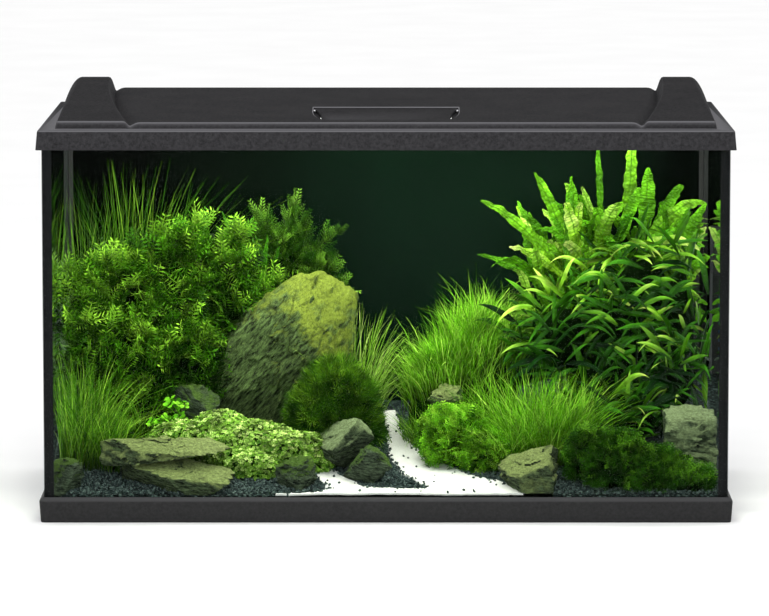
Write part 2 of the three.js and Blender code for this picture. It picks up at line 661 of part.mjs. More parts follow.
function bed(group) {
  const side = (2 * PANE + SEAM_LEG + 2 * GAP + SEAM_CLEARANCE) / Math.SQRT2;
  const corners = [-1, 1].flatMap((sx) =>
    [-1, 1].map((sy) => {
      const block = between([-side, side], [-side, side], [0, glassTop]);
      return solidOf(block.rotateZ(Math.PI / 4).translate(sx * halfW, sy * halfD, 0));
    }),
  );
  const bottom = floorTop + GAP;
  const whole = cut(groundBlock(0, GAP, bottom), ...corners);
  const trench = solidOf(prismUp(sandPath, bottom - 5, glassTop));
  const fill = solidOf(prismUp(shrunk(sandPath, GAP), bottom - 5, glassTop));
  const below = (lift) => groundBlock(lift, -5, bottom - 8);
  add(group, "gravel_bed", cut(whole, cut(trench, below(-SAND_DEPTH - GAP))), gravel);
  add(group, "sand_path", cut(whole.intersect(fill), below(-SAND_DEPTH)), sand);
}

// Rocks are faceted lumps: a rough sphere, stretched and leaned, that the ground cuts off underneath.
const rocks = [
  { name: "rock_main", at: [-94, 2, 94], size: [73, 28, 96], lean: 0.4 },
  { name: "rock_slab", at: [-193, -118, 24], size: [62, 20, 24], lean: -0.12 },
  { name: "rock_corner", at: [-278, -136, 18], size: [14, 11, 14], lean: 0 },
  { name: "rock_behind_slab", at: [-172, -30, 44], size: [17, 12, 28], lean: 0.3 },
  { name: "rock_front_small", at: [-78, -124, 19], size: [15, 11, 13], lean: 0 },
  { name: "rock_leaning", at: [-28, -88, 38], size: [20, 14, 30], lean: 0.35 },
  { name: "rock_mossy", at: [-3, -113, 26], size: [13, 10, 17], lean: 0 },
  { name: "rock_right_front", at: [128, -122, 26], size: [28, 16, 20], lean: -0.1 },
  { name: "rock_right_block", at: [267, -84, 42], size: [23, 19, 34], lean: 0 },
];
function rock({ at, size, lean }, seed, cutter) {
  const lump = new THREE.IcosahedronGeometry(1, 1);
  const corners = lump.attributes.position;
  for (let i = 0; i < corners.count; i++) {
    const [a, b, c] = [corners.getX(i), corners.getY(i), corners.getZ(i)];
    const bump = Math.sin(3.1 * a + seed) * Math.cos(2.7 * b - seed) + 0.6 * Math.sin(3.7 * c + 2 * seed);
    const rough = 0.9 - 0.1 * bump;
    corners.setXYZ(i, a * rough * size[0], b * rough * size[1], c * rough * size[2]);
  }
  return cut(solidOf(inTank(lump.rotateY(lean).translate(...at))), cutter);
}

// Each plant's solid is the plain outer shape of its foliage: a dome that stands on the ground.
const plants = [
  { name: "tall_grass_left", at: [-232, 108], reach: [57, 26], top: 274, waist: 0.75, material: leafMid },
  { name: "moss_bush_left", at: [-222, 30], reach: [71, 41], top: 212, waist: 0.95, material: leafDark },
  { name: "moss_bush_back", at: [-103, 90], reach: [51, 33], top: 214, waist: 0.9, material: leafDark },
  { name: "short_grass_left", at: [-265, -72], reach: [27, 34], top: 104, waist: 0.9, material: leafMid },
  { name: "carpet_plant", at: [-127, -70], reach: [56, 21], top: 46, waist: 0.9, material: leafBright },
  { name: "needle_moss", at: [-38, -47], reach: [33, 19], top: 114, waist: 0.95, material: leafDark },
  { name: "grass_tuft_centre", at: [-2, 18], reach: [20, 24], top: 158, waist: 0.8, material: leafBright },
  { name: "grass_slope_right", at: [62, 36], reach: [41, 44], top: 156, waist: 0.9, material: leafMid },
  { name: "moss_mound_slope", at: [64, -64], reach: [33, 17], top: 58, waist: 0.9, material: leafDark },
  { name: "grass_front_right", at: [140, -64], reach: [37, 25], top: 98, waist: 0.9, material: leafMid },
  { name: "leafy_bush_right", at: [205, 6], reach: [79, 37], top: 200, waist: 0.95, material: leafMid },
  { name: "fern_right", at: [180, 84], reach: [62, 34], top: 290, waist: 0.95, material: leafBright },
  { name: "moss_mound_front", at: [224, -126], reach: [44, 16], top: 62, waist: 0.9, material: leafDark },
];
function plant({ at, reach, top, waist }, cutter) {
  const profile = [
    [0, 0],
    [waist, 0],
    [1, 0.5],
    [0.8, 0.82],
    [0.35, 1],
    [0, 1],
  ].map(([r, z]) => new THREE.Vector2(r, z));
  const dome = new THREE.LatheGeometry(profile, 14).rotateX(Math.PI / 2).scale(reach[0], reach[1], top);
  return cut(solidOf(inTank(dome.translate(at[0], at[1], 0))), cutter);
}

function aquascape(group) {
  bed(group);
  const cutter = groundBlock(GAP, GAP, -100);
  rocks.forEach((item, i) => add(group, item.name, rock(item, i + 1, cutter), stone));
  plants.forEach((item) => add(group, item.name, plant(item, cutter), item.material));
}

// ---- The whole ----
const tank = new THREE.Group();
baseFrame(tank);
glass(tank);
seams(tank);
aquascape(tank);

const filterGroup = new THREE.Group();
filterGroup.position.set(filterX, filterY, ground(innerX, filterY + FILTER_WIDTH / 2) + ABOVE_GRAVEL);
filter(filterGroup);
filterBracket(filterGroup);
tank.add(filterGroup);

const heaterGroup = new THREE.Group();
heaterGroup.position.set(heaterX, heaterY, ground(heaterX, heaterY + HEATER_RADIUS) + ABOVE_GRAVEL);
heater(heaterGroup);
tank.add(heaterGroup);

const hood = new THREE.Group();
hoodShell(hood);
const hatch = new THREE.Group();
hatch.position.set(0, hatchRearY, hatchPlaneZ);
hatch.rotation.x = topSlope;
feedingHatch(hatch);
hood.add(hatch);
const lampGroup = new THREE.Group();
lampGroup.position.set(0, lampY, lampBottom);
lamp(lampGroup);
hood.add(lampGroup);
lampHangers(hood);

part.add(tank, hood);
export default part;
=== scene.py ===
"""Looks of a planted 60 cm aquarium: moulded hood, glass tank, gravel and sand, rocks and foliage.

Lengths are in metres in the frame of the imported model: the front looks along -Y, the floor is at Z = 0.
"""
import math
from random import Random

import bmesh
import bpy
import numpy as np
from mathutils import Matrix, Vector, noise


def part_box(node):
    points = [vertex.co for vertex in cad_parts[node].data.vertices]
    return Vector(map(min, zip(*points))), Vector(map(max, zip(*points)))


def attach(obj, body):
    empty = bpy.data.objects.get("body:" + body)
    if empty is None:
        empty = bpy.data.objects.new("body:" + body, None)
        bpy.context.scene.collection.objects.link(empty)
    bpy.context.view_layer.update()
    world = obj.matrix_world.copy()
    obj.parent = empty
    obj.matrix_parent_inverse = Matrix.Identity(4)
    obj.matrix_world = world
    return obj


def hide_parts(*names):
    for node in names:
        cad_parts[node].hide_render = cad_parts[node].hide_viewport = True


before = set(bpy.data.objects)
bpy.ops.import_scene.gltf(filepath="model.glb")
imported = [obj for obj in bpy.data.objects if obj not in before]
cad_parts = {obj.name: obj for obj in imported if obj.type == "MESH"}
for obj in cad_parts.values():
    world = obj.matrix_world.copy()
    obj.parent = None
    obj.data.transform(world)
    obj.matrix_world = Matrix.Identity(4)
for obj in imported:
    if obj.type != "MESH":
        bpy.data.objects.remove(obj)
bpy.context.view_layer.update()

MM = 0.001
GLASS_X, GLASS_Y = 0.300, 0.155  # outside of the glass, from the middle
INSIDE_X, INSIDE_Y = 0.2955, 0.1505  # room for plants and gravel
FLOOR_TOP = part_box("bottom_pane")[1][2]
FILTER_CLEAR = [min(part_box(name)[0][axis] for name in ("filter_canister", "filter_head", "filter_nozzle")) - 0.006 for axis in (0, 1)]


# ---------------------------------------------------------------- materials


def put(tree, kind, inputs=None, **settings):
    """Adds a node. An input is given a value or, from another node's output, a link."""
    made = tree.nodes.new(kind)
    for key, value in settings.items():
        setattr(made, key, value)
    for key, value in (inputs or {}).items():
        if isinstance(value, bpy.types.NodeSocket):
            tree.links.new(value, made.inputs[key])
        else:
            made.inputs[key].default_value = value
    return made


def finish_of(name, colour=(0.5, 0.5, 0.5), roughness=0.5, specular=0.5, metallic=0.0):
    """A new material and its Principled shader, with its uniform values set on the shader's own sockets."""
    material = bpy.data.materials.new(name)
    material.use_nodes = True
    shader = material.node_tree.nodes["Principled BSDF"]
    shader.inputs["Base Color"].default_value = (*colour, 1)
    shader.inputs["Roughness"].default_value = roughness
    shader.inputs["Specular IOR Level"].default_value = specular
    shader.inputs["Metallic"].default_value = metallic
    return material, material.node_tree, shader


def place(tree):
    return put(tree, "ShaderNodeTexCoord").outputs["Object"]


def grain(tree, scale, detail=2.0, roughness=0.5, at=None):
    """Noise at a number of grains per metre."""
    inputs = {"Vector": at or place(tree), "Scale": scale, "Detail": detail, "Roughness": roughness}
    return put(tree, "ShaderNodeTexNoise", inputs).outputs["Fac"]


def ramp(tree, value, *stops):
    """A colour ramp; each stop is (position, (r, g, b))."""
    made = put(tree, "ShaderNodeValToRGB", {"Fac": value})
    elements = made.color_ramp.elements
    while len(elements) < len(stops):
        elements.new(0.5)
    for element, (position, colour) in zip(elements, stops):
        element.position = position
        element.color = (*colour, 1)
    return made.outputs["Color"]


def curve(tree, value, low, high):
    """Value moved from the range low..high to 0..1, clamped."""
    inputs = {"Value": value, "From Min": low, "From Max": high}
    return put(tree, "ShaderNodeMapRange", inputs, clamp=True).outputs["Result"]


def blend_colours(tree, share, one, other, mode="MIX"):
    made = put(tree, "ShaderNodeMix", data_type="RGBA", blend_type=mode)
    for socket, value in ((made.inputs[0], share), (made.inputs[6], one), (made.inputs[7], other)):
        if isinstance(value, bpy.types.NodeSocket):
            tree.links.new(value, socket)
        else:
            socket.default_value = value if isinstance(value, float) else (*value, 1)
    return made.outputs[2]


def bump(tree, shader, height, distance, strength=1.0):
    inputs = {"Height": height, "Distance": distance, "Strength": strength}
    tree.links.new(put(tree, "ShaderNodeBump", inputs).outputs["Normal"], shader.inputs["Normal"])


def moulded_plastic(name, colour, roughness, texture_depth, specular=0.12, mottle=0.3, edge=None):
    """Spark-eroded plastic: a fine dull grain, a little uneven in gloss and tone. With an edge colour, faces that look
    up get painted shade, steep faces painted light, and its upper edges painted highlights.
    """
    material, tree, shader = finish_of(name, colour, roughness, specular)
    light = tuple((1 + mottle) * c for c in colour)
    dark = tuple((1 - mottle) * c for c in colour)
    tone = ramp(tree, grain(tree, 380, 5, 0.75), (0.32, dark), (0.68, light))
    if edge:
        # Painted shade on faces that look up and painted light on steep faces.
        up = put(tree, "ShaderNodeSeparateXYZ", {"Vector": put(tree, "ShaderNodeTexCoord").outputs["Normal"]}).outputs["Z"]
        level = ramp(tree, up, (0.6, (1.16, 1.16, 1.16)), (0.98, (0.74, 0.74, 0.74)))
        tone = blend_colours(tree, 1.0, tone, level, "MULTIPLY")
        # Painted highlight along the edges, by the stored edge amount.
        wear_and_highlight = put(tree, "ShaderNodeAttribute", attribute_name="edge").outputs["Fac"]
        tone = blend_colours(tree, wear_and_highlight, tone, edge)
    tree.links.new(tone, shader.inputs["Base Color"])
    gloss = curve(tree, grain(tree, 30, 3), 0.2, 0.8)
    uneven = {"Value": gloss, "To Min": roughness - 0.06, "To Max": roughness + 0.06}
    tree.links.new(put(tree, "ShaderNodeMapRange", uneven).outputs["Result"], shader.inputs["Roughness"])
    bump(tree, shader, grain(tree, 1500, 3), texture_depth)
    return material


def float_glass(name, across, mirror_from=None):
    """Clear glass with dark green edges. Where it is seen flat enough to mirror the inside, it mirrors it."""
    material = bpy.data.materials.new(name)
    material.use_nodes = True
    tree = material.node_tree
    tree.nodes.clear()
    clear = put(tree, "ShaderNodeBsdfTransparent", {"Color": (0.965, 0.985, 0.975, 1)})
    gloss = put(tree, "ShaderNodeBsdfGlossy", {"Color": (0.9, 0.95, 0.93, 1), "Roughness": 0.03})
    if mirror_from is None:
        share = put(tree, "ShaderNodeFresnel", {"IOR": 1.06}).outputs["Fac"]
    else:
        facing = put(tree, "ShaderNodeLayerWeight", {"Blend": 0.5}).outputs["Facing"]
        share = curve(tree, facing, mirror_from, mirror_from + 0.12)
    pane = put(tree, "ShaderNodeMixShader", {0: share, 1: clear.outputs[0], 2: gloss.outputs[0]})
    dark_green = {"Base Color": (0.003, 0.010, 0.007, 1), "Roughness": 0.2, "Specular IOR Level": 0.08}
    edge = put(tree, "ShaderNodeBsdfPrincipled", dark_green)
    normal = put(tree, "ShaderNodeTexCoord").outputs["Normal"]
    along = put(tree, "ShaderNodeSeparateXYZ", {"Vector": normal}).outputs[across]
    size = put(tree, "ShaderNodeMath", {0: along}, operation="ABSOLUTE").outputs[0]
    on_face = put(tree, "ShaderNodeMath", {0: size, 1: 0.5}, operation="GREATER_THAN").outputs[0]
    whole = put(tree, "ShaderNodeMixShader", {0: on_face, 1: edge.outputs[0], 2: pane.outputs[0]})
    put(tree, "ShaderNodeOutputMaterial", {"Surface": whole.outputs[0]})
    return material


def background_finish():
    """Black film with a dim green glow in its middle, as lit water gives it."""
    material, tree, shader = finish_of("background_film", roughness=0.8, specular=0.03)
    position = put(tree, "ShaderNodeSeparateXYZ", {"Vector": place(tree)}).outputs["X"]
    glow = ramp(
        tree,
        curve(tree, position, -0.3, 0.3),
        (0.12, (0.0004, 0.0006, 0.0004)),
        (0.30, (0.0013, 0.0036, 0.0018)),
        (0.50, (0.0024, 0.0086, 0.0044)),
        (0.78, (0.0030, 0.0100, 0.0052)),
        (0.95, (0.0005, 0.0012, 0.0006)),
    )
    cloud = curve(tree, grain(tree, 9, 3), 0.3, 0.7)
    dim = blend_colours(tree, cloud, (0.7, 0.7, 0.7), (1.15, 1.15, 1.15))
    tree.links.new(blend_colours(tree, 1.0, glow, dim, "MULTIPLY"), shader.inputs["Base Color"])
    return material


def leaf_finish(name, deep, middle, bright, tip=None, quilted=0.0, roughness=0.5, base=0.28, painted_patch_share=0.8):
    """Leaves vary by their stored tint; painted shade darkens them towards the base, a painted highlight lightens the
    tip and patches of painted light and shade lie over them. They may show wear at the tips, or be quilted with painted
    shade in the dimples.
    """
    material, tree, shader = finish_of(name, middle, roughness, 0.12)
    tint = put(tree, "ShaderNodeAttribute", attribute_name="tint").outputs["Fac"]
    along = put(tree, "ShaderNodeAttribute", attribute_name="along").outputs["Fac"]
    colour = ramp(tree, tint, (0.0, deep), (0.5, middle), (1.0, bright))
    # Painted shade towards the base, painted highlight at the tip.
    shade = ramp(tree, along, (0.0, (base, base, base)), (0.6, (0.95, 0.95, 0.95)), (1.0, (1.3, 1.3, 1.2)))
    colour = blend_colours(tree, 1.0, colour, shade, "MULTIPLY")
    # Patches of painted light and shade.
    patch = ramp(tree, grain(tree, 62, 2, 0.6), (0.36, (0.32, 0.34, 0.32)), (0.62, (1.35, 1.35, 1.35)))
    colour = blend_colours(tree, painted_patch_share, colour, blend_colours(tree, 1.0, colour, patch, "MULTIPLY"))
    if tip:
        old = put(tree, "ShaderNodeMath", {0: curve(tree, tint, 0.6, 0.95), 1: curve(tree, along, 0.3, 0.95)}, operation="MULTIPLY")
        wear_and_highlight = curve(tree, grain(tree, 60, 2), 0.35, 0.6)
        patch = put(tree, "ShaderNodeMath", {0: old.outputs[0], 1: wear_and_highlight}, operation="MULTIPLY")
        colour = blend_colours(tree, patch.outputs[0], colour, tip)
    if quilted:
        across = put(tree, "ShaderNodeAttribute", attribute_name="across").outputs["Fac"]
        half = put(tree, "ShaderNodeMath", {0: across}, operation="ABSOLUTE").outputs[0]
        rib = curve(tree, half, 0.0, 0.09)
        colour = blend_colours(tree, rib, tuple(0.5 * c for c in middle), colour)
        rows = put(tree, "ShaderNodeMath", {0: along, 1: 26.0}, operation="MULTIPLY").outputs[0]
        sides = put(tree, "ShaderNodeMath", {0: across, 1: 3.2}, operation="MULTIPLY").outputs[0]
        cell = put(tree, "ShaderNodeCombineXYZ", {"X": sides, "Y": rows, "Z": tint}).outputs[0]
        dimple = put(tree, "ShaderNodeTexVoronoi", {"Vector": cell, "Scale": 1.0, "Randomness": 0.7}).outputs["Distance"]
        # Painted shade in the dimples.
        hollow = ramp(tree, dimple, (0.2, (1.18, 1.15, 1.1)), (0.75, (0.5, 0.52, 0.45)))
        colour = blend_colours(tree, quilted, colour, blend_colours(tree, 1.0, colour, hollow, "MULTIPLY"))
        bump(tree, shader, put(tree, "ShaderNodeMath", {0: 1.0, 1: dimple}, operation="SUBTRACT").outputs[0], 0.0012)
    tree.links.new(colour, shader.inputs["Base Color"])
    return material


def shadowed_core(name, colour):
    """The unlit inside of a plant, mottled almost to black."""
    material, tree, shader = finish_of(name, colour, 0.9, 0.05)
    tone = ramp(tree, grain(tree, 260, 4, 0.7), (0.35, tuple(0.15 * c for c in colour)), (0.7, colour))
    tree.links.new(tone, shader.inputs["Base Color"])
    bump(tree, shader, grain(tree, 300, 3), 0.003)
    return material


def rock_finish(name, stone, dark, moss, moss_share, bare_from=None, dip=0.15):
    """Layered stone, with painted shade where its cracks are deep, and moss on what faces up."""
    material, tree, shader = finish_of(name, stone, 0.85, 0.15)
    turn = {"Vector": place(tree), "Scale": (1.0, 1.0, 0.24), "Rotation": (0.15, dip, 0.0)}
    grainy = put(tree, "ShaderNodeMapping", turn, vector_type="TEXTURE").outputs[0]
    layers = grain(tree, 120, 6, 0.7, grainy)
    fine = grain(tree, 520, 5, 0.75, grainy)
    body = ramp(tree, layers, (0.38, dark), (0.5, stone), (0.64, tuple(2.2 * c for c in stone)))
    up = put(tree, "ShaderNodeSeparateXYZ", {"Vector": put(tree, "ShaderNodeTexCoord").outputs["Normal"]}).outputs["Z"]
    patches = grain(tree, 42, 6, 0.65)
    spread = put(tree, "ShaderNodeMath", {0: up, 1: 0.4, 2: patches}, operation="MULTIPLY_ADD").outputs[0]
    if bare_from:
        across = put(tree, "ShaderNodeSeparateXYZ", {"Vector": place(tree)}).outputs["X"]
        side = curve(tree, across, *bare_from)
        spread = put(tree, "ShaderNodeMath", {0: side, 1: 0.34, 2: spread}, operation="MULTIPLY_ADD").outputs[0]
        spread = put(tree, "ShaderNodeMath", {0: spread, 1: 0.20}, operation="SUBTRACT").outputs[0]
    cover = curve(tree, spread, 0.78 - moss_share * 0.45, 0.98 - moss_share * 0.45)
    fluff = ramp(tree, grain(tree, 300, 5, 0.75), (0.3, tuple(0.4 * c for c in moss)), (0.65, moss))
    colour = blend_colours(tree, cover, body, fluff)
    speckle = ramp(tree, fine, (0.34, (0.3, 0.3, 0.3)), (0.56, (1.15, 1.15, 1.15)))
    colour = blend_colours(tree, 0.8, colour, blend_colours(tree, 1.0, colour, speckle, "MULTIPLY"))
    # Painted shade in the cracks.
    deep = put(tree, "ShaderNodeAttribute", attribute_name="deep").outputs["Fac"]
    tree.links.new(blend_colours(tree, curve(tree, deep, 0.35, 1.3), colour, tuple(0.8 * c for c in dark)), shader.inputs["Base Color"])
    bump(tree, shader, blend_colours(tree, 0.5, layers, fine), 0.008)
    return material


# ---------------------------------------------------------------- mesh helpers


def mesh_object(name, vertices, faces, *materials):
    mesh = bpy.data.meshes.new(name)
    mesh.from_pydata([tuple(v) for v in vertices], [], faces)
    mesh.validate()
    for material in materials:
        mesh.materials.append(material)
    made = bpy.data.objects.new(name, mesh)
    bpy.context.scene.collection.objects.link(made)
    return made


def facing_out(piece):
    work = bmesh.new()
    work.from_mesh(piece.data)
    bmesh.ops.remove_doubles(work, verts=work.verts, dist=1e-6)
    bmesh.ops.recalc_face_normals(work, faces=work.faces)
    work.to_mesh(piece.data)
    work.free()
    return piece


def smooth(piece, angle=32):
    piece.data.shade_smooth()
    piece.data.set_sharp_from_angle(angle=math.radians(angle))
    return piece


def paint_edge_highlights(piece, amount=1.0, ledge=0.0, behind=1.0):
    """Stores, for a painted highlight, how far each point lies on an upper outer edge, and on the step in front of the
    raised top.
    """
    values = []
    for vertex in piece.data.vertices:
        n, (x, y, z) = vertex.normal, vertex.co
        outward = max(-n.y, abs(n.x) if z < 0.3455 else 0.0, 0.0)
        value = min(max(2.6 * n.z * outward - 0.25, 0.0), 1.0) * amount
        if z > 0.3455 and y > behind:
            value = 0.0
        if abs(z - 0.345) < 0.0003 and y < -0.1425:
            value = max(value, ledge)
        values.append(value)
    corners = [values[loop.vertex_index] for loop in piece.data.loops]
    # Painted highlight on the sloping faces round the hatch's recess.
    for face in piece.data.polygons:
        x, y, z = face.center
        if behind < 1.0 and abs(x) < 0.068 and -0.128 < y < -0.036 and z > 0.346 and 0.25 < face.normal.z < 0.95:
            for index in face.loop_indices:
                corners[index] = 1.0
    piece.data.attributes.new("edge", "FLOAT", "CORNER").data.foreach_set("value", corners)
    return piece


def apply_modifiers(piece):
    """Turns a piece with its modifiers into a plain mesh, keeping its name."""
    graph = bpy.context.evaluated_depsgraph_get()
    mesh = bpy.data.meshes.new_from_object(piece.evaluated_get(graph), preserve_all_data_layers=True, depsgraph=graph)
    piece.modifiers.clear()
    piece.data = mesh
    return piece


def carve(piece, operation, *tools):
    """Cuts, or joins, closed tools with a closed piece, and removes them."""
    for tool in tools:
        step = piece.modifiers.new(operation, "BOOLEAN")
        step.operation = operation
        step.solver = "EXACT"
        step.object = tool
        apply_modifiers(piece)
        bpy.data.objects.remove(tool)
    return piece


def lofted(name, loops, *materials):
    """A closed solid through loops of points that all have the same count."""
    count = len(loops[0])
    faces = [tuple(reversed(range(count)))]
    for level in range(len(loops) - 1):
        low, high = level * count, (level + 1) * count
        faces += [(low + i, low + (i + 1) % count, high + (i + 1) % count, high + i) for i in range(count)]
    faces.append(tuple((len(loops) - 1) * count + i for i in range(count)))
    return facing_out(mesh_object(name, [p for loop in loops for p in loop], faces, *materials))


def rounded_rectangle(half_x, half_y, radius, z, steps=5):
    points = []
    for corner, (sx, sy) in enumerate(((1, -1), (1, 1), (-1, 1), (-1, -1))):
        for i in range(steps):
            turn = math.radians(90 * (corner - 1) + 90 * i / (steps - 1))
            centre = sx * (half_x - radius), sy * (half_y - radius)
            points.append((centre[0] + radius * math.cos(turn), centre[1] + radius * math.sin(turn), z))
    return points


def block(name, low, high):
    (x0, y0, z0), (x1, y1, z1) = low, high
    loops = [[(x0, y0, z), (x1, y0, z), (x1, y1, z), (x0, y1, z)] for z in (z0, z1)]
    return lofted(name, loops)


def keep(piece, body, slot, *nodes):
    """Says which body a piece rides on and the plain solids it stands for; the finish slot is not used."""
    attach(piece, body)
    if nodes:
        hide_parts(*nodes)
    return piece


# ---------------------------------------------------------------- finishes

# The last colour given to the first two finishes is their painted highlight along upper edges.
anthracite = moulded_plastic("anthracite_plastic", (0.0285, 0.028, 0.030), 0.62, 0.0003, 0.006, 0.45, (0.17, 0.168, 0.18))
satin_black = moulded_plastic("satin_black_plastic", (0.022, 0.022, 0.0225), 0.6, 0.00015, 0.05, 0.25, (0.06, 0.06, 0.062))
lamp_white = moulded_plastic("white_plastic", (0.72, 0.74, 0.75), 0.4, 0.00005, 0.5, 0.04)
silicone = moulded_plastic("black_silicone", (0.008, 0.008, 0.009), 0.4, 0.0002, 0.08)
lit_silicone = moulded_plastic("lit_silicone", (0.024, 0.024, 0.025), 0.5, 0.0001)
rubber = moulded_plastic("rubber", (0.012, 0.012, 0.013), 0.6, 0.0001)


def foam_finish():
    material, tree, shader = finish_of("filter_foam", (0.012, 0.05, 0.15), 0.95, 0.1)
    pores = put(tree, "ShaderNodeTexVoronoi", {"Vector": place(tree), "Scale": 700.0}).outputs["Distance"]
    # Painted shade in the pores.
    tone = ramp(tree, pores, (0.1, (0.002, 0.008, 0.02)), (0.5, (0.02, 0.075, 0.2)))
    tree.links.new(tone, shader.inputs["Base Color"])
    bump(tree, shader, pores, 0.0015)
    return material


def steel_finish():
    material, tree, shader = finish_of("stainless_steel", (0.6, 0.6, 0.62), 0.3, 0.5, 1.0)
    bump(tree, shader, grain(tree, 2500, 2), 0.00003)
    return material


def opal_finish():
    material, tree, shader = finish_of("opal_cover", (0.9, 0.92, 0.94), 0.3)
    shader.inputs["Emission Color"].default_value = (0.93, 0.97, 1.0, 1)
    shader.inputs["Emission Strength"].default_value = 2.0
    bump(tree, shader, grain(tree, 900, 2), 0.00005)
    return material


def dress_frame_nodes():
    """Finishes for the solids that are shown as they are."""
    foam, steel, opal = foam_finish(), steel_finish(), opal_finish()
    front_glass = float_glass("front_glass", "Y")
    side_glass = float_glass("side_glass", "X", 0.80)
    floor_glass = float_glass("floor_glass", "Z")
    finishes = {
        front_glass: ("front_pane", "back_pane"),
        side_glass: ("left_pane", "right_pane"),
        floor_glass: ("bottom_pane",),
        silicone: ("seam_front_left", "seam_front_right", "seam_bottom"),
        lit_silicone: ("seam_back_left", "seam_back_right"),
        background_finish(): ("background_film",),
        steel: ("hatch_pin_left", "hatch_pin_right", "light_screw_left", "light_screw_right"),
        opal: ("light_lens",),
        foam: ("filter_sponge",),
        rubber: ("heater_holder", "filter_suction_cup", "light_cable_gland"),
        lamp_white: ("light_housing", "light_board", "light_bracket_left", "light_bracket_right", "filter_impeller"),
        satin_black: ("filter_canister", "filter_bracket", "light_end_cap_left", "light_end_cap_right"),
        anthracite: ("filter_head", "filter_nozzle", "heater_dial"),
        float_glass("heater_glass", "Y"): ("heater_tube",),
    }
    for finish, names in finishes.items():
        for name in names:
            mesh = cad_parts[name].data
            mesh.materials.clear()
            mesh.materials.append(finish)


# ---------------------------------------------------------------- hood

HOOD_X, HOOD_Y = 305.0, 160.0
SKIRT_Z, STEP_Z = 328.0, 345.0
WALL = 2.5
TOP_FRONT_Y, TOP_BACK_Y = -141.5, 90.0
REAR_FOOT_Y = 142.0
HATCH_REAR_Y = -42.0
HATCH_LENGTH = 81.0
TOP_SLOPE = math.atan(12.0 / (TOP_BACK_Y - TOP_FRONT_Y))


def share_back(y):
    return min(max((y - TOP_FRONT_Y) / (TOP_BACK_Y - TOP_FRONT_Y), 0.0), 1.0)


def hood_half_row(y, wall):
    """Half a row across the raised top, from the middle out, in mm: (x, height above the step)."""
    back = share_back(y)
    reach = REAR_FOOT_Y - wall - TOP_BACK_Y
    fall = math.sqrt(max(0.0, 1 - (min(max((y - TOP_BACK_Y) / reach, 0.0), 1.0)) ** 2))
    top, horn = (6 + 12 * back) * fall, (7 + 21 * back) * fall
    groove = 223.5 + 25 * math.sin(back * math.pi / 2)
    valley = max(top - 3 * fall, 0)
    foot, shoulder = 288.8 + 7.7 * back - wall, 286.5 - 7.5 * back - 0.8 * wall
    row = [(x * (groove - 9) / 8, top) for x in range(9)]
    row += [(groove + dx, top - (top - valley) * dip) for dx, dip in ((-7, 0.06), (-5, 0.25), (-3.2, 0.55), (-1.6, 0.85), (-0.4, 1))]
    rise = horn - valley
    row += [(groove + 0.5 * wall * u + dx, valley + rise * u) for dx, u in ((0.8, 0.08), (1.8, 0.3), (2.8, 0.58), (3.8, 0.82), (4.9, 0.96), (6.4, 1))]
    row += [(groove + 6.4 + 0.5 * wall + (shoulder - groove - 6.4 - 0.5 * wall) * t, horn) for t in (0.33, 0.66, 1.0)]
    row += [(shoulder + (foot - shoulder) * u, horn * (1 - u * u)) for u in (0.12, 0.25, 0.38, 0.5, 0.62, 0.74, 0.85, 0.94, 1.0)]
    return row


def hood_dome(name, wall):
    """The raised top and its two horns as a block, or the hollow inside it."""
    front = -HOOD_Y + 17 + wall
    ramp_up = ((0.0, 0.0), (0.12, 0.14), (0.35, 0.45), (0.65, 0.74), (1.05, 0.91), (1.6, 0.98), (2.4, 1.0))
    rows = [(front + dy, f) for dy, f in ramp_up]
    rows += [(y, 1.0) for y in np.linspace(front + 6, TOP_BACK_Y, 34)]
    reach = REAR_FOOT_Y - wall - TOP_BACK_Y
    rows += [(TOP_BACK_Y + reach * math.sin(t * math.pi / 2), 1.0) for t in np.linspace(0.08, 1.0, 16)]
    step = STEP_Z - wall
    grid = []
    for y, f in rows:
        half = hood_half_row(y, wall)
        full = [(-x, h) for x, h in reversed(half[1:])] + half
        grid.append([(x * MM, y * MM, (step + h * f) * MM) for x, h in full])
    floor = (step - 4) * MM
    grid.insert(0, [(x, y, floor) for x, y, _ in grid[0]])
    grid.append([(x, y, floor) for x, y, _ in grid[-1]])
    for row in grid:
        row.insert(0, (row[0][0], row[0][1], floor))
        row.append((row[-1][0], row[-1][1], floor))
    width = len(grid[0])
    points = [p for row in grid for p in row]
    faces = [
        (j * width + i, j * width + i + 1, (j + 1) * width + i + 1, (j + 1) * width + i)
        for j in range(len(grid) - 1)
        for i in range(width - 1)
    ]
    rim = list(range(width)) + [j * width + width - 1 for j in range(1, len(grid))]
    rim += [(len(grid) - 1) * width + i for i in range(width - 2, -1, -1)] + [j * width for j in range(len(grid) - 2, 0, -1)]
    faces.append(tuple(reversed(rim)))
    return facing_out(mesh_object(name, points, faces, anthracite))


def hood_tray(name, wall):
    """The rim and the flat step round the raised top, with softened edges."""
    low = SKIRT_Z - (6 if wall else 0)
    top = STEP_Z - wall
    outline = [(0.0, low, 2.6), (0.0, low + 0.6, 3.0), (1.3, top - 1.4, 3.0), (1.55, top - 0.6, 2.8), (2.1, top - 0.12, 2.4), (2.9, top, 2.0)]
    if wall:
        outline = [(0.0, low, 1.5), (1.6, top, 1.5)]
    loops = [
        rounded_rectangle((HOOD_X - wall - inset) * MM, (HOOD_Y - wall - inset) * MM, radius * MM, z * MM)
        for inset, z, radius in outline
    ]
    return lofted(name, loops, anthracite)


def hatch_half(s):
    return 63.7 if s < 0.3 else 51 + 12.7 * math.sqrt(max(0.0, 1 - ((s - 0.3) / 0.7) ** 2))


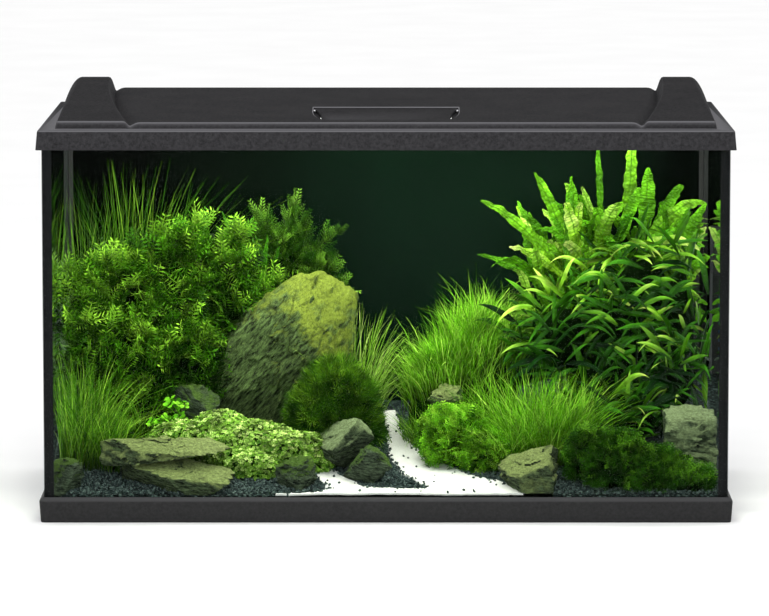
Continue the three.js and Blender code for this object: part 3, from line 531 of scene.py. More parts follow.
def hatch_outline(spread, end_gap, z):
    steps = [0, 0.08, 0.15, 0.22, 0.3, 0.4, 0.5, 0.6, 0.7, 0.78, 0.85, 0.91, 0.96, 0.99, 1]
    side = [
        (hatch_half(s) + spread - end_gap * math.sin(math.pi * s), spread - s * (HATCH_LENGTH + 2 * spread)) for s in steps
    ]
    loop = side + [(-x, y) for x, y in reversed(side)]
    return [(x * MM, y * MM, z * MM) for x, y in loop]


def on_top(piece):
    """Moves a mesh made in the plane of the raised top into place."""
    height = (STEP_Z + 6 + 12 * share_back(HATCH_REAR_Y)) * MM
    piece.data.transform(Matrix.Translation((0, HATCH_REAR_Y * MM, height)) @ Matrix.Rotation(TOP_SLOPE, 4, "X"))
    return piece


def rod_x(name, radius, x0, x1, y, z, sides=20):
    loops = []
    for x in (x0, x1):
        ring = [(2 * math.pi * i / sides) for i in range(sides)]
        loops.append([(x * MM, (y + radius * math.cos(a)) * MM, (z + radius * math.sin(a)) * MM) for a in ring])
    return lofted(name, loops)


def rod_z(name, radius, z0, z1, x, y, sides=16):
    ring = [(2 * math.pi * i / sides) for i in range(sides)]
    loops = [[((x + radius * math.cos(a)) * MM, (y + radius * math.sin(a)) * MM, z * MM) for a in ring] for z in (z0, z1)]
    return lofted(name, loops)


def build_hood():
    shell = carve(hood_tray("hood_moulding", 0), "UNION", hood_dome("dome", 0))
    carve(shell, "DIFFERENCE", carve(hood_tray("hollow", WALL), "UNION", hood_dome("hollow_dome", WALL)))
    ring = block("rib", (-0.3024, -0.1574, 0.3386), (0.3024, 0.1574, 0.3435))
    carve(ring, "DIFFERENCE", block("rib_inside", (-0.294, -0.1495, 0.33), (0.294, 0.1495, 0.35)))
    margin = on_top(lofted("hatch_margin", [hatch_outline(5.8, 0, -9), hatch_outline(5.8, 0, -1.25)]))
    bosses = [rod_z("boss", 5, 351.3, 356.5, x, -10) for x in (-200, 200)]
    carve(shell, "UNION", ring, margin, *bosses)
    levels = ((0.8, -4.3), (0.8, -0.9), (1.05, -0.35), (1.7, 0.0), (1.8, 6.0))
    recess = on_top(lofted("recess", [hatch_outline(spread, 0, z) for spread, z in levels]))
    through = on_top(lofted("through", [hatch_outline(-5, 0, -14), hatch_outline(-5, 0, 2)]))
    knuckle_room = on_top(block("knuckle_room", (-0.0645, -0.0052, -0.0064), (0.0645, 0.0008, -0.001)))
    pin_hole = on_top(rod_x("pin_hole", 1.5, -67.7, 67.7, -2.2, -3.4))
    notches = [block("notch", ((x - 20) * MM, 0.140, 0.323), ((x + 20) * MM, 0.165, 0.350)) for x in (-210, 210)]
    pilots = [rod_z("pilot", 1.55, 350, 355.1, x, -10) for x in (-200, 200)]
    carve(shell, "DIFFERENCE", recess, through, knuckle_room, pin_hole, *notches, *pilots)
    shell.data.materials.clear()
    shell.data.materials.append(anthracite)
    smooth(shell, 30)
    shell.modifiers.new("even_shading", "WEIGHTED_NORMAL").keep_sharp = True
    apply_modifiers(shell)
    keep(paint_edge_highlights(shell, 0.9, 0.45, -0.1395), "hood", "black_plastic", "hood_shell")


def build_hatch():
    levels = ((0.0, -3.7), (0.0, -2.4), (-0.25, -1.75), (-0.75, -1.35), (-1.4, -1.2))
    lid = lofted("hatch_lid", [hatch_outline(spread, 5.6, z) for spread, z in levels], anthracite)
    carve(lid, "DIFFERENCE", block("behind_axis", (-0.2, -0.0022, -0.05), (0.2, 0.05, 0.05)))
    carve(lid, "UNION", rod_x("knuckle", 2.2, -62.7, 62.7, -2.2, -3.4))
    carve(lid, "DIFFERENCE", rod_x("bore", 1.5, -64, 64, -2.2, -3.4))
    lid.data.materials.clear()
    lid.data.materials.append(anthracite)
    keep(paint_edge_highlights(smooth(on_top(lid)), 0.9), "hatch", "black_plastic", "feeding_hatch")


def build_base_frame():
    """The frame's section goes round the four sides; its corners and edges are softly rounded."""
    section = [
        (2.6, 0), (3.1, 0.5), (3.25, 2), (4.3, 17.4), (4.35, 18.3), (4.1, 19.2), (3.5, 20.1), (1.6, 21.9), (1.0, 22.25),
        (0.3, 22.3), (0.3, 9), (-16, 9), (-16, 6.5), (0, 6.5), (0, 0),
    ]
    loops = []
    for out, z in section:
        radius = max(out + 1.0, 0.4)
        loops.append(rounded_rectangle(GLASS_X + out * MM, GLASS_Y + out * MM, radius * MM, z * MM, 6))
    count = len(loops[0])
    faces = []
    for j in range(len(loops)):
        here, there = j * count, ((j + 1) % len(loops)) * count
        faces += [(here + i, here + (i + 1) % count, there + (i + 1) % count, there + i) for i in range(count)]
    ring = facing_out(mesh_object("base_moulding", [p for loop in loops for p in loop], faces, satin_black))
    keep(paint_edge_highlights(smooth(ring, 28), 0.8), "tank", "satin_black_plastic", "base_frame")


# ---------------------------------------------------------------- ground


def ground(x, y):
    """Height of the gravel, in metres."""
    back = (y + 0.151) / 0.302
    aside = min(abs(x - 0.012) / 0.17, 1.0)
    return FLOOR_TOP + 0.010 + 0.042 * back + 0.030 * back * aside * aside


SAND = [
    (-125, -156), (-105, -149.5), (-58, -147), (-50, -138), (-62, -100), (-66, -68), (-54, -66), (-40, -95), (-20, -128), (30, -138),
    (36, -128), (15, -92), (5, -50), (2, -10), (0, 40), (-2, 110), (8, 110), (16, 40), (28, -10), (44, -50), (66, -88),
    (88, -108), (120, -128), (155, -156),
]


def sand_depth_inside(x, y):
    """Distance in mm into the sand's outline: negative outside it."""
    inside = False
    nearest = 1e9
    for (ax, ay), (bx, by) in zip(SAND, SAND[1:] + SAND[:1]):
        if (ay > y) != (by > y) and x < (bx - ax) * (y - ay) / (by - ay) + ax:
            inside = not inside
        t = max(0.0, min(1.0, ((x - ax) * (bx - ax) + (y - ay) * (by - ay)) / ((bx - ax) ** 2 + (by - ay) ** 2)))
        nearest = min(nearest, math.hypot(x - ax - t * (bx - ax), y - ay - t * (by - ay)))
    return nearest if inside else -nearest


def gravel_finish():
    material, tree, shader = finish_of("dark_gravel", (0.03, 0.05, 0.05), 0.8, 0.25)
    cells = put(tree, "ShaderNodeTexVoronoi", {"Vector": place(tree), "Scale": 420.0})
    tint = put(tree, "ShaderNodeSeparateColor", {"Color": cells.outputs["Color"]}).outputs[0]
    tone = ramp(tree, tint, (0.0, (0.006, 0.011, 0.011)), (0.6, (0.03, 0.052, 0.047)), (1.0, (0.12, 0.17, 0.15)))
    # Painted shade between the grains.
    shade_between_grains = ramp(tree, cells.outputs["Distance"], (0.35, (1, 1, 1)), (0.75, (0.15, 0.15, 0.15)))
    tree.links.new(blend_colours(tree, 1.0, tone, shade_between_grains, "MULTIPLY"), shader.inputs["Base Color"])
    turned = put(tree, "ShaderNodeMath", {0: 1.0, 1: cells.outputs["Distance"]}, operation="SUBTRACT")
    bump(tree, shader, turned.outputs[0], 0.0016)
    return material


def grain_finish():
    material, tree, shader = finish_of("gravel_grains", (0.04, 0.06, 0.06), 0.7, 0.3)
    tint = put(tree, "ShaderNodeAttribute", attribute_name="tint").outputs["Fac"]
    tone = ramp(tree, tint, (0.0, (0.008, 0.014, 0.014)), (0.55, (0.04, 0.068, 0.062)), (1.0, (0.18, 0.25, 0.22)))
    rough = curve(tree, grain(tree, 1200, 2), 0.3, 0.7)
    tree.links.new(blend_colours(tree, rough, (0.02, 0.03, 0.03), tone), shader.inputs["Base Color"])
    return material


def sand_finish():
    material, tree, shader = finish_of("white_sand", (0.9, 0.9, 0.87), 0.9, 0.1)
    fine = grain(tree, 1600, 3, 0.7)
    tone = ramp(tree, fine, (0.3, (0.72, 0.71, 0.66)), (0.55, (0.93, 0.93, 0.90)))
    tree.links.new(tone, shader.inputs["Base Color"])
    bump(tree, shader, fine, 0.0007)
    return material


def terrain(name, step, height, wanted, bottom, material):
    """A closed slab over the cells of a fine grid that are wanted. height(x, y) and bottom(x, y) are in metres."""
    columns = int(round(2 * INSIDE_X / step))
    rows = int(round(2 * INSIDE_Y / step))
    xs = np.linspace(-INSIDE_X, INSIDE_X, columns + 1)
    ys = np.linspace(-INSIDE_Y, INSIDE_Y, rows + 1)
    index, points, faces = {}, [], []

    def corner(i, j, top):
        key = i, j, top
        if key not in index:
            index[key] = len(points)
            x, y = xs[i], ys[j]
            points.append((x, y, height(x, y) if top else bottom(x, y)))
        return index[key]

    chosen = {
        (i, j)
        for i in range(columns)
        for j in range(rows)
        if wanted((xs[i] + xs[i + 1]) / 2, (ys[j] + ys[j + 1]) / 2)
    }
    for i, j in sorted(chosen):
        faces.append([corner(i, j, 1), corner(i + 1, j, 1), corner(i + 1, j + 1, 1), corner(i, j + 1, 1)])
        faces.append([corner(i, j + 1, 0), corner(i + 1, j + 1, 0), corner(i + 1, j, 0), corner(i, j, 0)])
        sides = (((i, j - 1), (i, j), (i + 1, j)), ((i + 1, j), (i + 1, j), (i + 1, j + 1)),
                 ((i, j + 1), (i + 1, j + 1), (i, j + 1)), ((i - 1, j), (i, j + 1), (i, j)))
        for beside, a, b in sides:
            if beside not in chosen:
                faces.append([corner(*a, 0), corner(*b, 0), corner(*b, 1), corner(*a, 1)])
    return mesh_object(name, points, faces, material)


def ragged(x, y):
    """How far, in mm, the border between sand and gravel wanders."""
    return 3.2 * noise.noise((x * 60, y * 60, 3.1)) + 2.6 * noise.noise((x * 190, y * 190, 7.7))


def build_ground():
    def in_corner(x, y):
        return (GLASS_X - abs(x)) + (GLASS_Y - abs(y)) < 0.0142

    def dunes(x, y):
        return 0.0012 * noise.noise((x * 28, y * 28, 1.0)) + 0.0005 * noise.noise((x * 130, y * 130, 4.0))

    sand_step = 0.0016
    gravel = terrain(
        "gravel_layer", 0.0034, lambda x, y: ground(x, y) - 0.0012 + dunes(x, y), lambda x, y: not in_corner(x, y),
        lambda x, y: FLOOR_TOP + 0.0003, gravel_finish(),
    )
    keep(smooth(gravel, 50), "tank", "gravel", "gravel_bed")
    sand = terrain(
        "sand_layer", sand_step, lambda x, y: ground(x, y) + 0.0004 + dunes(x, y),
        lambda x, y: -0.12 < x < 0.15 and not in_corner(x, y) and sand_depth_inside(x / MM, y / MM) + ragged(x, y) > 0,
        lambda x, y: ground(x, y) - 0.003, sand_finish(),
    )
    keep(smooth(sand, 60), "tank", "white_sand", "sand_path")


# ---------------------------------------------------------------- geometry nodes


class Rule:
    """A geometry node tree in the making, with named inputs."""

    def __init__(self, name, **inputs):
        self.tree = bpy.data.node_groups.new(name, "GeometryNodeTree")
        self.tree.interface.new_socket("Geometry", in_out="INPUT", socket_type="NodeSocketGeometry")
        self.tree.interface.new_socket("Geometry", in_out="OUTPUT", socket_type="NodeSocketGeometry")
        kinds = {int: "NodeSocketInt", float: "NodeSocketFloat", str: "NodeSocketMaterial", object: "NodeSocketObject"}
        for label, kind in inputs.items():
            self.tree.interface.new_socket(label.replace("_", " "), in_out="INPUT", socket_type=kinds[kind])
        self.given = self.tree.nodes.new("NodeGroupInput").outputs

    def node(self, kind, inputs=None, **settings):
        return put(self.tree, kind, inputs, **settings)

    def sum(self, operation, *values):
        return self.node("ShaderNodeMath", dict(enumerate(values)), operation=operation).outputs[0]

    def vector(self, operation, *values):
        return self.node("ShaderNodeVectorMath", dict(enumerate(values)), operation=operation).outputs[0]

    def attribute(self, name, kind="FLOAT"):
        return self.node("GeometryNodeInputNamedAttribute", {"Name": name}, data_type=kind).outputs["Attribute"]

    def store(self, geometry, name, value):
        inputs = {"Geometry": geometry, "Name": name, "Value": value}
        return self.node("GeometryNodeStoreNamedAttribute", inputs, data_type="FLOAT").outputs["Geometry"]

    def close(self, geometry):
        """Realize Instances and Set Material end every tree."""
        real = self.node("GeometryNodeRealizeInstances", {"Geometry": geometry}).outputs["Geometry"]
        made = self.node("GeometryNodeSetMaterial", {"Geometry": real, "Material": self.given["Finish"]})
        self.tree.links.new(made.outputs["Geometry"], self.node("NodeGroupOutput").inputs["Geometry"])
        return self.tree


def blade_rule():
    """A blade or leaf on each point. It is widest between its base and tip, folds along its rib, and bends by
    two stored vectors: "lean" from the base and "droop" mostly at the tip."""
    rule = Rule("blades", Segments=int, Columns=int, Base_power=float, Tip_power=float, Fold=float, Crinkle=float, Finish=str)
    rows = rule.sum("ADD", rule.given["Segments"], 1.0)
    inputs = {"Size X": 1.0, "Size Y": 1.0, "Vertices X": rule.given["Columns"], "Vertices Y": rows}
    flat = rule.node("GeometryNodeMeshGrid", inputs).outputs["Mesh"]
    spot = rule.node("ShaderNodeSeparateXYZ", {"Vector": rule.node("GeometryNodeInputPosition").outputs[0]})
    along = rule.sum("ADD", spot.outputs["Y"], 0.5)
    rise = rule.sum("POWER", rule.sum("ADD", along, 0.03), rule.given["Base power"])
    taper = rule.sum("POWER", rule.sum("SUBTRACT", 1.02, along), rule.given["Tip power"])
    width = rule.sum("MULTIPLY", rise, taper)
    flat = rule.store(rule.store(flat, "along", along), "across", spot.outputs["X"])
    spread = rule.sum("MULTIPLY", spot.outputs["X"], width)
    fold = rule.sum("MULTIPLY", rule.sum("ABSOLUTE", spread), rule.given["Fold"])
    shaped = rule.node("ShaderNodeCombineXYZ", {"X": spread, "Y": fold, "Z": along}).outputs[0]
    blade = rule.node("GeometryNodeSetPosition", {"Geometry": flat, "Position": shaped}).outputs["Geometry"]
    inputs = {
        "Points": rule.given["Geometry"],
        "Instance": blade,
        "Rotation": rule.attribute("turn", "FLOAT_VECTOR"),
        "Scale": rule.attribute("size", "FLOAT_VECTOR"),
    }
    stand = rule.node("GeometryNodeInstanceOnPoints", inputs).outputs["Instances"]
    real = rule.node("GeometryNodeRealizeInstances", {"Geometry": stand}).outputs["Geometry"]
    along = rule.attribute("along")
    lean = rule.node("ShaderNodeVectorMath", {0: rule.attribute("lean", "FLOAT_VECTOR"), "Scale": rule.sum("POWER", along, 1.4)}, operation="SCALE")
    droop = rule.node("ShaderNodeVectorMath", {0: rule.attribute("droop", "FLOAT_VECTOR"), "Scale": rule.sum("POWER", along, 3.0)}, operation="SCALE")
    spot = rule.node("GeometryNodeInputPosition").outputs[0]
    ripple = rule.node("ShaderNodeTexNoise", {"Vector": spot, "Scale": 130.0, "Detail": 1.0}).outputs["Color"]
    ripple = rule.vector("SUBTRACT", ripple, (0.5, 0.5, 0.5))
    size = rule.sum("MULTIPLY", rule.given["Crinkle"], rule.sum("ADD", 0.25, rule.sum("ABSOLUTE", rule.attribute("across"))))
    ripple = rule.node("ShaderNodeVectorMath", {0: ripple, "Scale": size}, operation="SCALE").outputs[0]
    offset = rule.vector("ADD", rule.vector("ADD", lean.outputs[0], droop.outputs[0]), ripple)
    return rule.close(rule.node("GeometryNodeSetPosition", {"Geometry": real, "Offset": offset}).outputs["Geometry"])


def sprig_rule():
    """A copy of one small piece on each point, turned and sized by what the point stores."""
    rule = Rule("sprigs", Piece=object, Finish=str)
    shape = rule.node("GeometryNodeObjectInfo", {"Object": rule.given["Piece"], "As Instance": False}).outputs["Geometry"]
    inputs = {
        "Points": rule.given["Geometry"],
        "Instance": shape,
        "Rotation": rule.attribute("turn", "FLOAT_VECTOR"),
        "Scale": rule.attribute("size", "FLOAT_VECTOR"),
    }
    return rule.close(rule.node("GeometryNodeInstanceOnPoints", inputs).outputs["Instances"])


class Points:
    """Places for blades, sprigs or grains."""

    def __init__(self):
        self.at, self.turn, self.size, self.lean, self.droop, self.tint = [], [], [], [], [], []

    def add(self, at, turn, size, tint, lean=(0, 0, 0), droop=(0, 0, 0)):
        self.at.append(tuple(at))
        self.turn.append(tuple(turn))
        self.size.append(tuple(size))
        self.lean.append(tuple(lean))
        self.droop.append(tuple(droop))
        self.tint.append(min(max(tint, 0.0), 1.0))


def grow(name, points, tree, inputs, core=None):
    """Runs a rule on points and gives one plain mesh, with the plant's core joined to it."""
    piece = mesh_object(name, points.at, [])
    for label in ("turn", "size", "lean", "droop"):
        layer = piece.data.attributes.new(label, "FLOAT_VECTOR", "POINT")
        layer.data.foreach_set("vector", np.array(getattr(points, label), dtype=np.float32).ravel())
    layer = piece.data.attributes.new("tint", "FLOAT", "POINT")
    layer.data.foreach_set("value", np.array(points.tint, dtype=np.float32))
    rule = piece.modifiers.new(tree.name, "NODES")
    rule.node_group = tree
    sockets = {s.name: s.identifier for s in tree.interface.items_tree if s.in_out == "INPUT"}
    for label, value in inputs.items():
        rule[sockets[label]] = value
    apply_modifiers(piece)
    for label in ("turn", "size", "lean", "droop"):
        if label in piece.data.attributes:
            piece.data.attributes.remove(piece.data.attributes[label])
    if core:
        joined = bmesh.new()
        joined.from_mesh(piece.data)
        first = len(joined.faces)
        joined.from_mesh(core.data)
        joined.faces.ensure_lookup_table()
        slot_of_core = len(piece.data.materials)
        for face in joined.faces[first:]:
            face.material_index = slot_of_core
        joined.to_mesh(piece.data)
        joined.free()
        piece.data.materials.append(core.data.materials[0])
        bpy.data.objects.remove(core)
    return piece


# ---------------------------------------------------------------- rocks


def boulder(size, seed, cuts=13, given=()):
    """Flat planes, as (normal, distance in mm), that trim a lump of a given half size."""
    rng = Random(seed)
    planes = [(Vector(n).normalized(), d) for n, d in given]
    while len(planes) < cuts:
        n = Vector((rng.gauss(0, 1), rng.gauss(0, 1), rng.gauss(0, 0.8))).normalized()
        reach = math.sqrt(sum((n[i] * size[i]) ** 2 for i in range(3)))
        planes.append((n, reach * rng.uniform(0.78, 1.0)))
    return planes


def outline_planes(outline, centre, tilts):
    """Planes through the edges of an outline seen from the front, each leaning to the front by a tilt."""
    planes = []
    for (ax, az), (bx, bz), tilt in zip(outline, outline[1:], tilts):
        flat = Vector((az - bz, 0, bx - ax)).normalized()
        n = Vector((flat.x * math.cos(tilt), -math.sin(tilt), flat.z * math.cos(tilt)))
        middle = Vector(((ax + bx) / 2, centre[1], (az + bz) / 2))
        planes.append((n, (middle - Vector(centre)).dot(n)))
    return planes


def build_rock(name, centre, planes, seed, material, dip=(0, 0, 1), layer=9.0, depth=1.5, rough=0.9, detail=5, edge=30):
    """A body within flat planes, chipped into shards that lie along its layers, with cracks between them."""
    work = bmesh.new()
    bmesh.ops.create_icosphere(work, subdivisions=detail, radius=1.0)
    dip = Vector(dip).normalized()
    wide = dip.orthogonal().normalized()
    other = dip.cross(wide)
    deep = []
    for vertex in work.verts:
        d = vertex.co.normalized()
        p = d / sum((max(d.dot(n), 0.0) / reach) ** edge for n, reach in planes) ** (1 / edge)
        warp = noise.fractal(p / 40 + Vector((seed, 0, 0)), 1.0, 2.0, 3)
        chip = Vector((p.dot(wide) / (2.6 * layer), p.dot(other) / (2.6 * layer), p.dot(dip) / layer + 0.5 * warp + seed))
        reaches, seeds = noise.voronoi(chip)
        slope = noise.noise_vector(seeds[0] * 3.1)
        crack = math.exp(-(((reaches[1] - reaches[0]) / 0.09) ** 2)) * min(max(0.45 + 1.6 * noise.noise(p / 17), 0), 1)
        fine = noise.fractal(p / 7 + Vector((0, 0, seed)), 0.9, 2.1, 4)
        chipped = 0.7 * slope.x + 3.6 * (chip - seeds[0]).dot(slope)
        splinter = Vector((p.dot(wide) / (1.3 * layer), p.dot(other) / (0.9 * layer), p.dot(dip) * 3.2 / layer + seed))
        seeds = noise.voronoi(splinter)[1]
        chipped += 1.1 * (splinter - seeds[0]).dot(noise.noise_vector(seeds[0] * 5.3))
        p += d * (rough * fine + depth * (chipped - 0.35 * crack) + 0.7 * rough * warp)
        # The crack amount is kept for the painted shade in the cracks.
        deep.append(crack)
        x, y, z = (p + Vector(centre)) * MM
        vertex.co = (min(max(x, -INSIDE_X), INSIDE_X), min(max(y, -INSIDE_Y), INSIDE_Y), max(z, FLOOR_TOP + 0.004))
    mesh = bpy.data.meshes.new(name)
    work.to_mesh(mesh)
    work.free()
    mesh.attributes.new("deep", "FLOAT", "POINT").data.foreach_set("value", deep)
    mesh.materials.append(material)
    made = bpy.data.objects.new(name, mesh)
    bpy.context.scene.collection.objects.link(made)
    return smooth(made, 50)


def joined(name, *pieces):
    """One object from several, keeping each one's finish."""
    with bpy.context.temp_override(active_object=pieces[0], selected_editable_objects=list(pieces), selected_objects=list(pieces)):
        bpy.ops.object.join()
    pieces[0].name = pieces[0].data.name = name
    return pieces[0]


def build_rocks():
    mossy = rock_finish("moss_covered_rock", (0.088, 0.138, 0.042), (0.008, 0.012, 0.006), (0.30, 0.40, 0.050), 0.46, (-0.125, -0.055), -0.88)
    slate = rock_finish("layered_slate", (0.070, 0.100, 0.045), (0.006, 0.010, 0.006), (0.40, 0.50, 0.17), 0.60)
    grey = rock_finish("grey_rock", (0.075, 0.105, 0.06), (0.010, 0.016, 0.012), (0.12, 0.22, 0.04), 0.45)
    pale = rock_finish("pale_rock", (0.055, 0.080, 0.040), (0.010, 0.016, 0.010), (0.36, 0.47, 0.22), 0.66)

    middle = (-92, 8, 128)
    outline = [
        (-166, 66), (-163, 100), (-149, 132), (-128, 159), (-107, 177), (-87, 193), (-61, 203), (-37, 192), (-19, 179),
        (-22, 150), (-34, 112), (-40, 66),
    ]
    tilts = [0.5, 0.45, 0.4, 0.25, 0.5, 0.75, 0.5, 0.3, 0.25, 0.15, 0.1]
    facets = outline_planes(outline, middle, tilts)
    ridge = Vector((-64, -30, 140)) - Vector(middle)
    for normal in ((-0.34, -0.92, 0.14), (0.50, -0.85, 0.12), (0.16, -0.86, 0.40), (-0.10, -0.95, -0.25)):
        n = Vector(normal).normalized()
        facets.append((n, ridge.dot(n)))
    facets += [(Vector((0, 1, 0)), 26), (Vector((0, 0, -1)), 64), (Vector((0.1, 1, 0.25)).normalized(), 24)]
    main = build_rock("main_stone", middle, facets, 3.7, mossy, (0.72, 0.30, -0.55), 9, 2.1, 0.9, 6, 70)
    keep(main, "tank", "mossy_rock", "rock_main")

    plate = [((0.15, -0.40, 1), 8), ((-0.05, 0.3, 1), 9), ((0, 1, 0.2), 21), ((0.7, 1, 0.2), 34), ((0.12, 0, -1), 8), ((-1, -0.3, 0.15), 57), ((-0.6, -1, 0.2), 36), ((1, -0.5, 0.25), 56), ((0.2, -1, 0.1), 24)]
    upper = build_rock("upper_slab", (-194, -111, 59), boulder((66, 27, 14), 5, 12, plate), 2.2, slate, (0.16, -0.1, 1), 4.6, 1.7, 0.7, 6, 44)
    plate = [((0.12, -0.35, 1), 7), ((0, 1, 0.1), 15), ((0, 0, -1), 16), ((-1, -0.4, 0.1), 46), ((1, -0.6, 0.2), 50)]
    lower = build_rock("lower_slab", (-180, -124, 39), boulder((54, 16, 12), 8, 11, plate), 5.2, slate, (0.18, 0, 1), 4.2, 1.5, 0.6, 5, 44)
    keep(joined("stacked_slab", upper, lower), "tank", "mossy_rock", "rock_slab")

    small = [
        ("rock_corner", (-280, -136, 41), (15, 12, 14), 5, grey, (0.2, 0, 1), 6, []),
        ("rock_behind_slab", (-169, -30, 82), (17, 13, 24), 16, grey, (0.6, 0, 0.8), 6, [((0.5, -0.5, 0.6), 13)]),
        ("rock_front_small", (-77, -124, 39), (17, 12, 15), 7, grey, (0.05, 0, 1), 4, [((0, -0.3, 1), 11)]),
        ("rock_leaning", (-35, -88, 62), (22, 14, 24), 18, pale, (0.7, 0.2, -0.7), 8, [((-0.62, -0.35, 0.7), 12), ((0.55, -0.55, -0.6), 11), ((0.8, -0.1, 0.6), 21), ((-0.8, -0.2, -0.5), 22)]),
        ("rock_mossy", (-13, -113, 45), (14, 12, 17), 19, grey, (0.3, 0, 1), 7, [((0.5, -0.2, 0.8), 13), ((-0.75, -0.2, 0.6), 12)]),
        ("rock_right_front", (128, -122, 41), (29, 17, 18), 10, slate, (-0.3, 0.1, 1), 6, [((-0.35, -0.4, 0.9), 14), ((1, -0.3, 0.3), 24)]),
        ("rock_right_block", (270, -86, 60), (30, 26, 36), 12, pale, (0.0, 0.1, 1), 7, [((0, -0.22, 1), 27), ((0, -1, 0.1), 19), ((-1, 0, 0.05), 23), ((1, 0, 0), 23), ((0, 1, 0), 19), ((0, 0, -1), 40), ((-1, -1, 0), 29), ((0.1, -0.15, 1), 27), ((-0.15, -0.25, 1), 28)]),
        (None, (54, -18, 90), (17, 12, 11), 23, slate, (0.3, 0, 1), 6, [((-0.2, -0.4, 1), 9)]),
    ]
    for name, centre, size, seed, finish, dip, layer, given in small:
        stone = build_rock((name or "slope_rock") + "_stone", centre, boulder(size, seed, max(11, len(given)), given), seed * 1.3, finish, dip, layer, 1.5, 1.1)
        keep(stone, "tank", "mossy_rock", *([name] if name else []))


# ---------------------------------------------------------------- plants


def inside(x, y, margin=0.0015):
    return abs(x) < INSIDE_X - margin and abs(y) < INSIDE_Y - margin


def mound(name, lumps, colour, shrink=0.86):
    """The dark inside of a plant, a body of painted shade: its lumps, a little smaller, as one closed mesh each."""
    work = bmesh.new()
    for cx, cy, cz, rx, ry, rz in lumps:
        ball = bmesh.ops.create_icosphere(work, subdivisions=3, radius=1.0)["verts"]
        for vertex in ball:
            d = vertex.co.copy()
            r = shrink * (0.94 + 0.12 * noise.noise(d * 2.3 + Vector((cx * 40, cy * 40, 0))))
            x, y = cx + d.x * rx * r, cy + d.y * ry * r
            x, y = min(max(x, -INSIDE_X), INSIDE_X), min(max(y, -INSIDE_Y), INSIDE_Y)
            vertex.co = (x, y, max(cz + d.z * rz * r, ground(x, y) - 0.004))
    mesh = bpy.data.meshes.new(name)
    work.to_mesh(mesh)
    work.free()
    mesh.materials.append(shadowed_core(name + "_shade", colour))
    made = bpy.data.objects.new(name, mesh)
    bpy.context.scene.collection.objects.link(made)
    made.data.shade_smooth()
    return made


def lump_surface(lumps, rng, low=0.9, high=1.05, downward=-0.15):
    """A random place on a clump of ellipsoids and the way it faces, not inside another and not under ground."""
    weights = [rx * ry + ry * rz + rz * rx for _, _, _, rx, ry, rz in lumps]
    while True:
        cx, cy, cz, rx, ry, rz = rng.choices(lumps, weights)[0]
        d = Vector((rng.gauss(0, 1), rng.gauss(0, 1), rng.gauss(0, 1))).normalized()
        if d.z < downward:
            continue
        r = rng.uniform(low, high)
        p = Vector((cx + d.x * rx * r, cy + d.y * ry * r, cz + d.z * rz * r))
        if not inside(p.x, p.y) or p.z < ground(p.x, p.y):
            continue
        buried = False
        for ox, oy, oz, sx, sy, sz in lumps:
            if (ox, oy, oz) != (cx, cy, cz):
                if ((p.x - ox) / sx) ** 2 + ((p.y - oy) / sy) ** 2 + ((p.z - oz) / sz) ** 2 < 0.72:
                    buried = True
        if not buried:
            return p, Vector((d.x / rx, d.y / ry, d.z / rz)).normalized()


def facing(direction, spin):
    """Euler turn that points a sprig's +Z along a direction."""
    return (direction.to_track_quat("Z", "Y").to_matrix() @ Matrix.Rotation(spin, 3, "Z")).to_euler()


def leaflets(name, blades):
    """A small piece of flat leaflets, as (base, tip, half width across, along at base, along at tip)."""
    points, faces, along = [], [], []
    for base, tip, side, start, end in blades:
        base, tip, side = Vector(base), Vector(tip), Vector(side)
        first = len(points)
        points += [base, (base + tip) / 2 + side, tip, (base + tip) / 2 - side]
        along += [start, (start + end) / 2, end, (start + end) / 2]
        faces.append((first, first + 1, first + 2, first + 3))
    made = mesh_object(name, points, faces)
    made.data.attributes.new("along", "FLOAT", "POINT").data.foreach_set("value", along)
    return made


def frond_shape(name, pairs, lobe, width, angle, curl=0.2):
    """A feathery frond one unit long: paired lobes that shorten towards its tip."""
    blades = [((0, 0, 0), (0, curl, 1), (width * 0.6, 0, 0), 0.0, 1.0)]
    for i in range(pairs):
        h = 0.12 + 0.74 * i / max(pairs - 1, 1)
        long = lobe * (1.1 - 0.7 * h)
        for side in (-1, 1):
            out, rise = side * math.sin(angle), math.cos(angle)
            y = curl * h * h
            tip = (out * long, y - curl * 0.8 * long + 0.1 * long * (i % 3 - 1), h + rise * long)
            blades.append(((0, y, h), tip, (rise * width, 0, -out * width), 0.15 + 0.3 * h, 0.6 + 0.4 * h))
    return leaflets(name, blades)


def needle_shape(name, count, width, angle):
    """Fine needles that fan out from one stem."""
    blades = []
    for i in range(count):
        turn, h = i * 2.4, 0.55 * i / count
        out = Vector((math.cos(turn), math.sin(turn), 0)) * math.sin(angle) + Vector((0, 0, math.cos(angle)))
        tip = Vector((0, 0, h)) + out * (1 - h)
        blades.append(((0, 0, h), tip, (-math.sin(turn) * width, math.cos(turn) * width, 0), 0.2 + h, 1.0))
    return leaflets(name, blades)


def rosette_shape(name, leaves, width, cup):
    """Round leaflets in a ring, for low creeping plants."""
    points, faces, along = [], [], []
    for i in range(leaves):
        turn = 2 * math.pi * i / leaves + (0.4 if i % 2 else 0)
        out = Vector((math.cos(turn), math.sin(turn), 0))
        side, lift = Vector((-out.y, out.x, 0)) * width, Vector((0, 0, cup))
        first = len(points)
        points += [out * 0.1, out * 0.45 + side + lift * 0.8, out * 0.9 + side * 0.6 + lift]
        points += [out + lift * 1.1, out * 0.9 - side * 0.6 + lift, out * 0.45 - side + lift * 0.8]
        along += [0.1, 0.6, 0.9, 1.0, 0.9, 0.6]
        faces.append(tuple(range(first, first + 6)))
    made = mesh_object(name, points, faces)
    made.data.attributes.new("along", "FLOAT", "POINT").data.foreach_set("value", along)
    return made


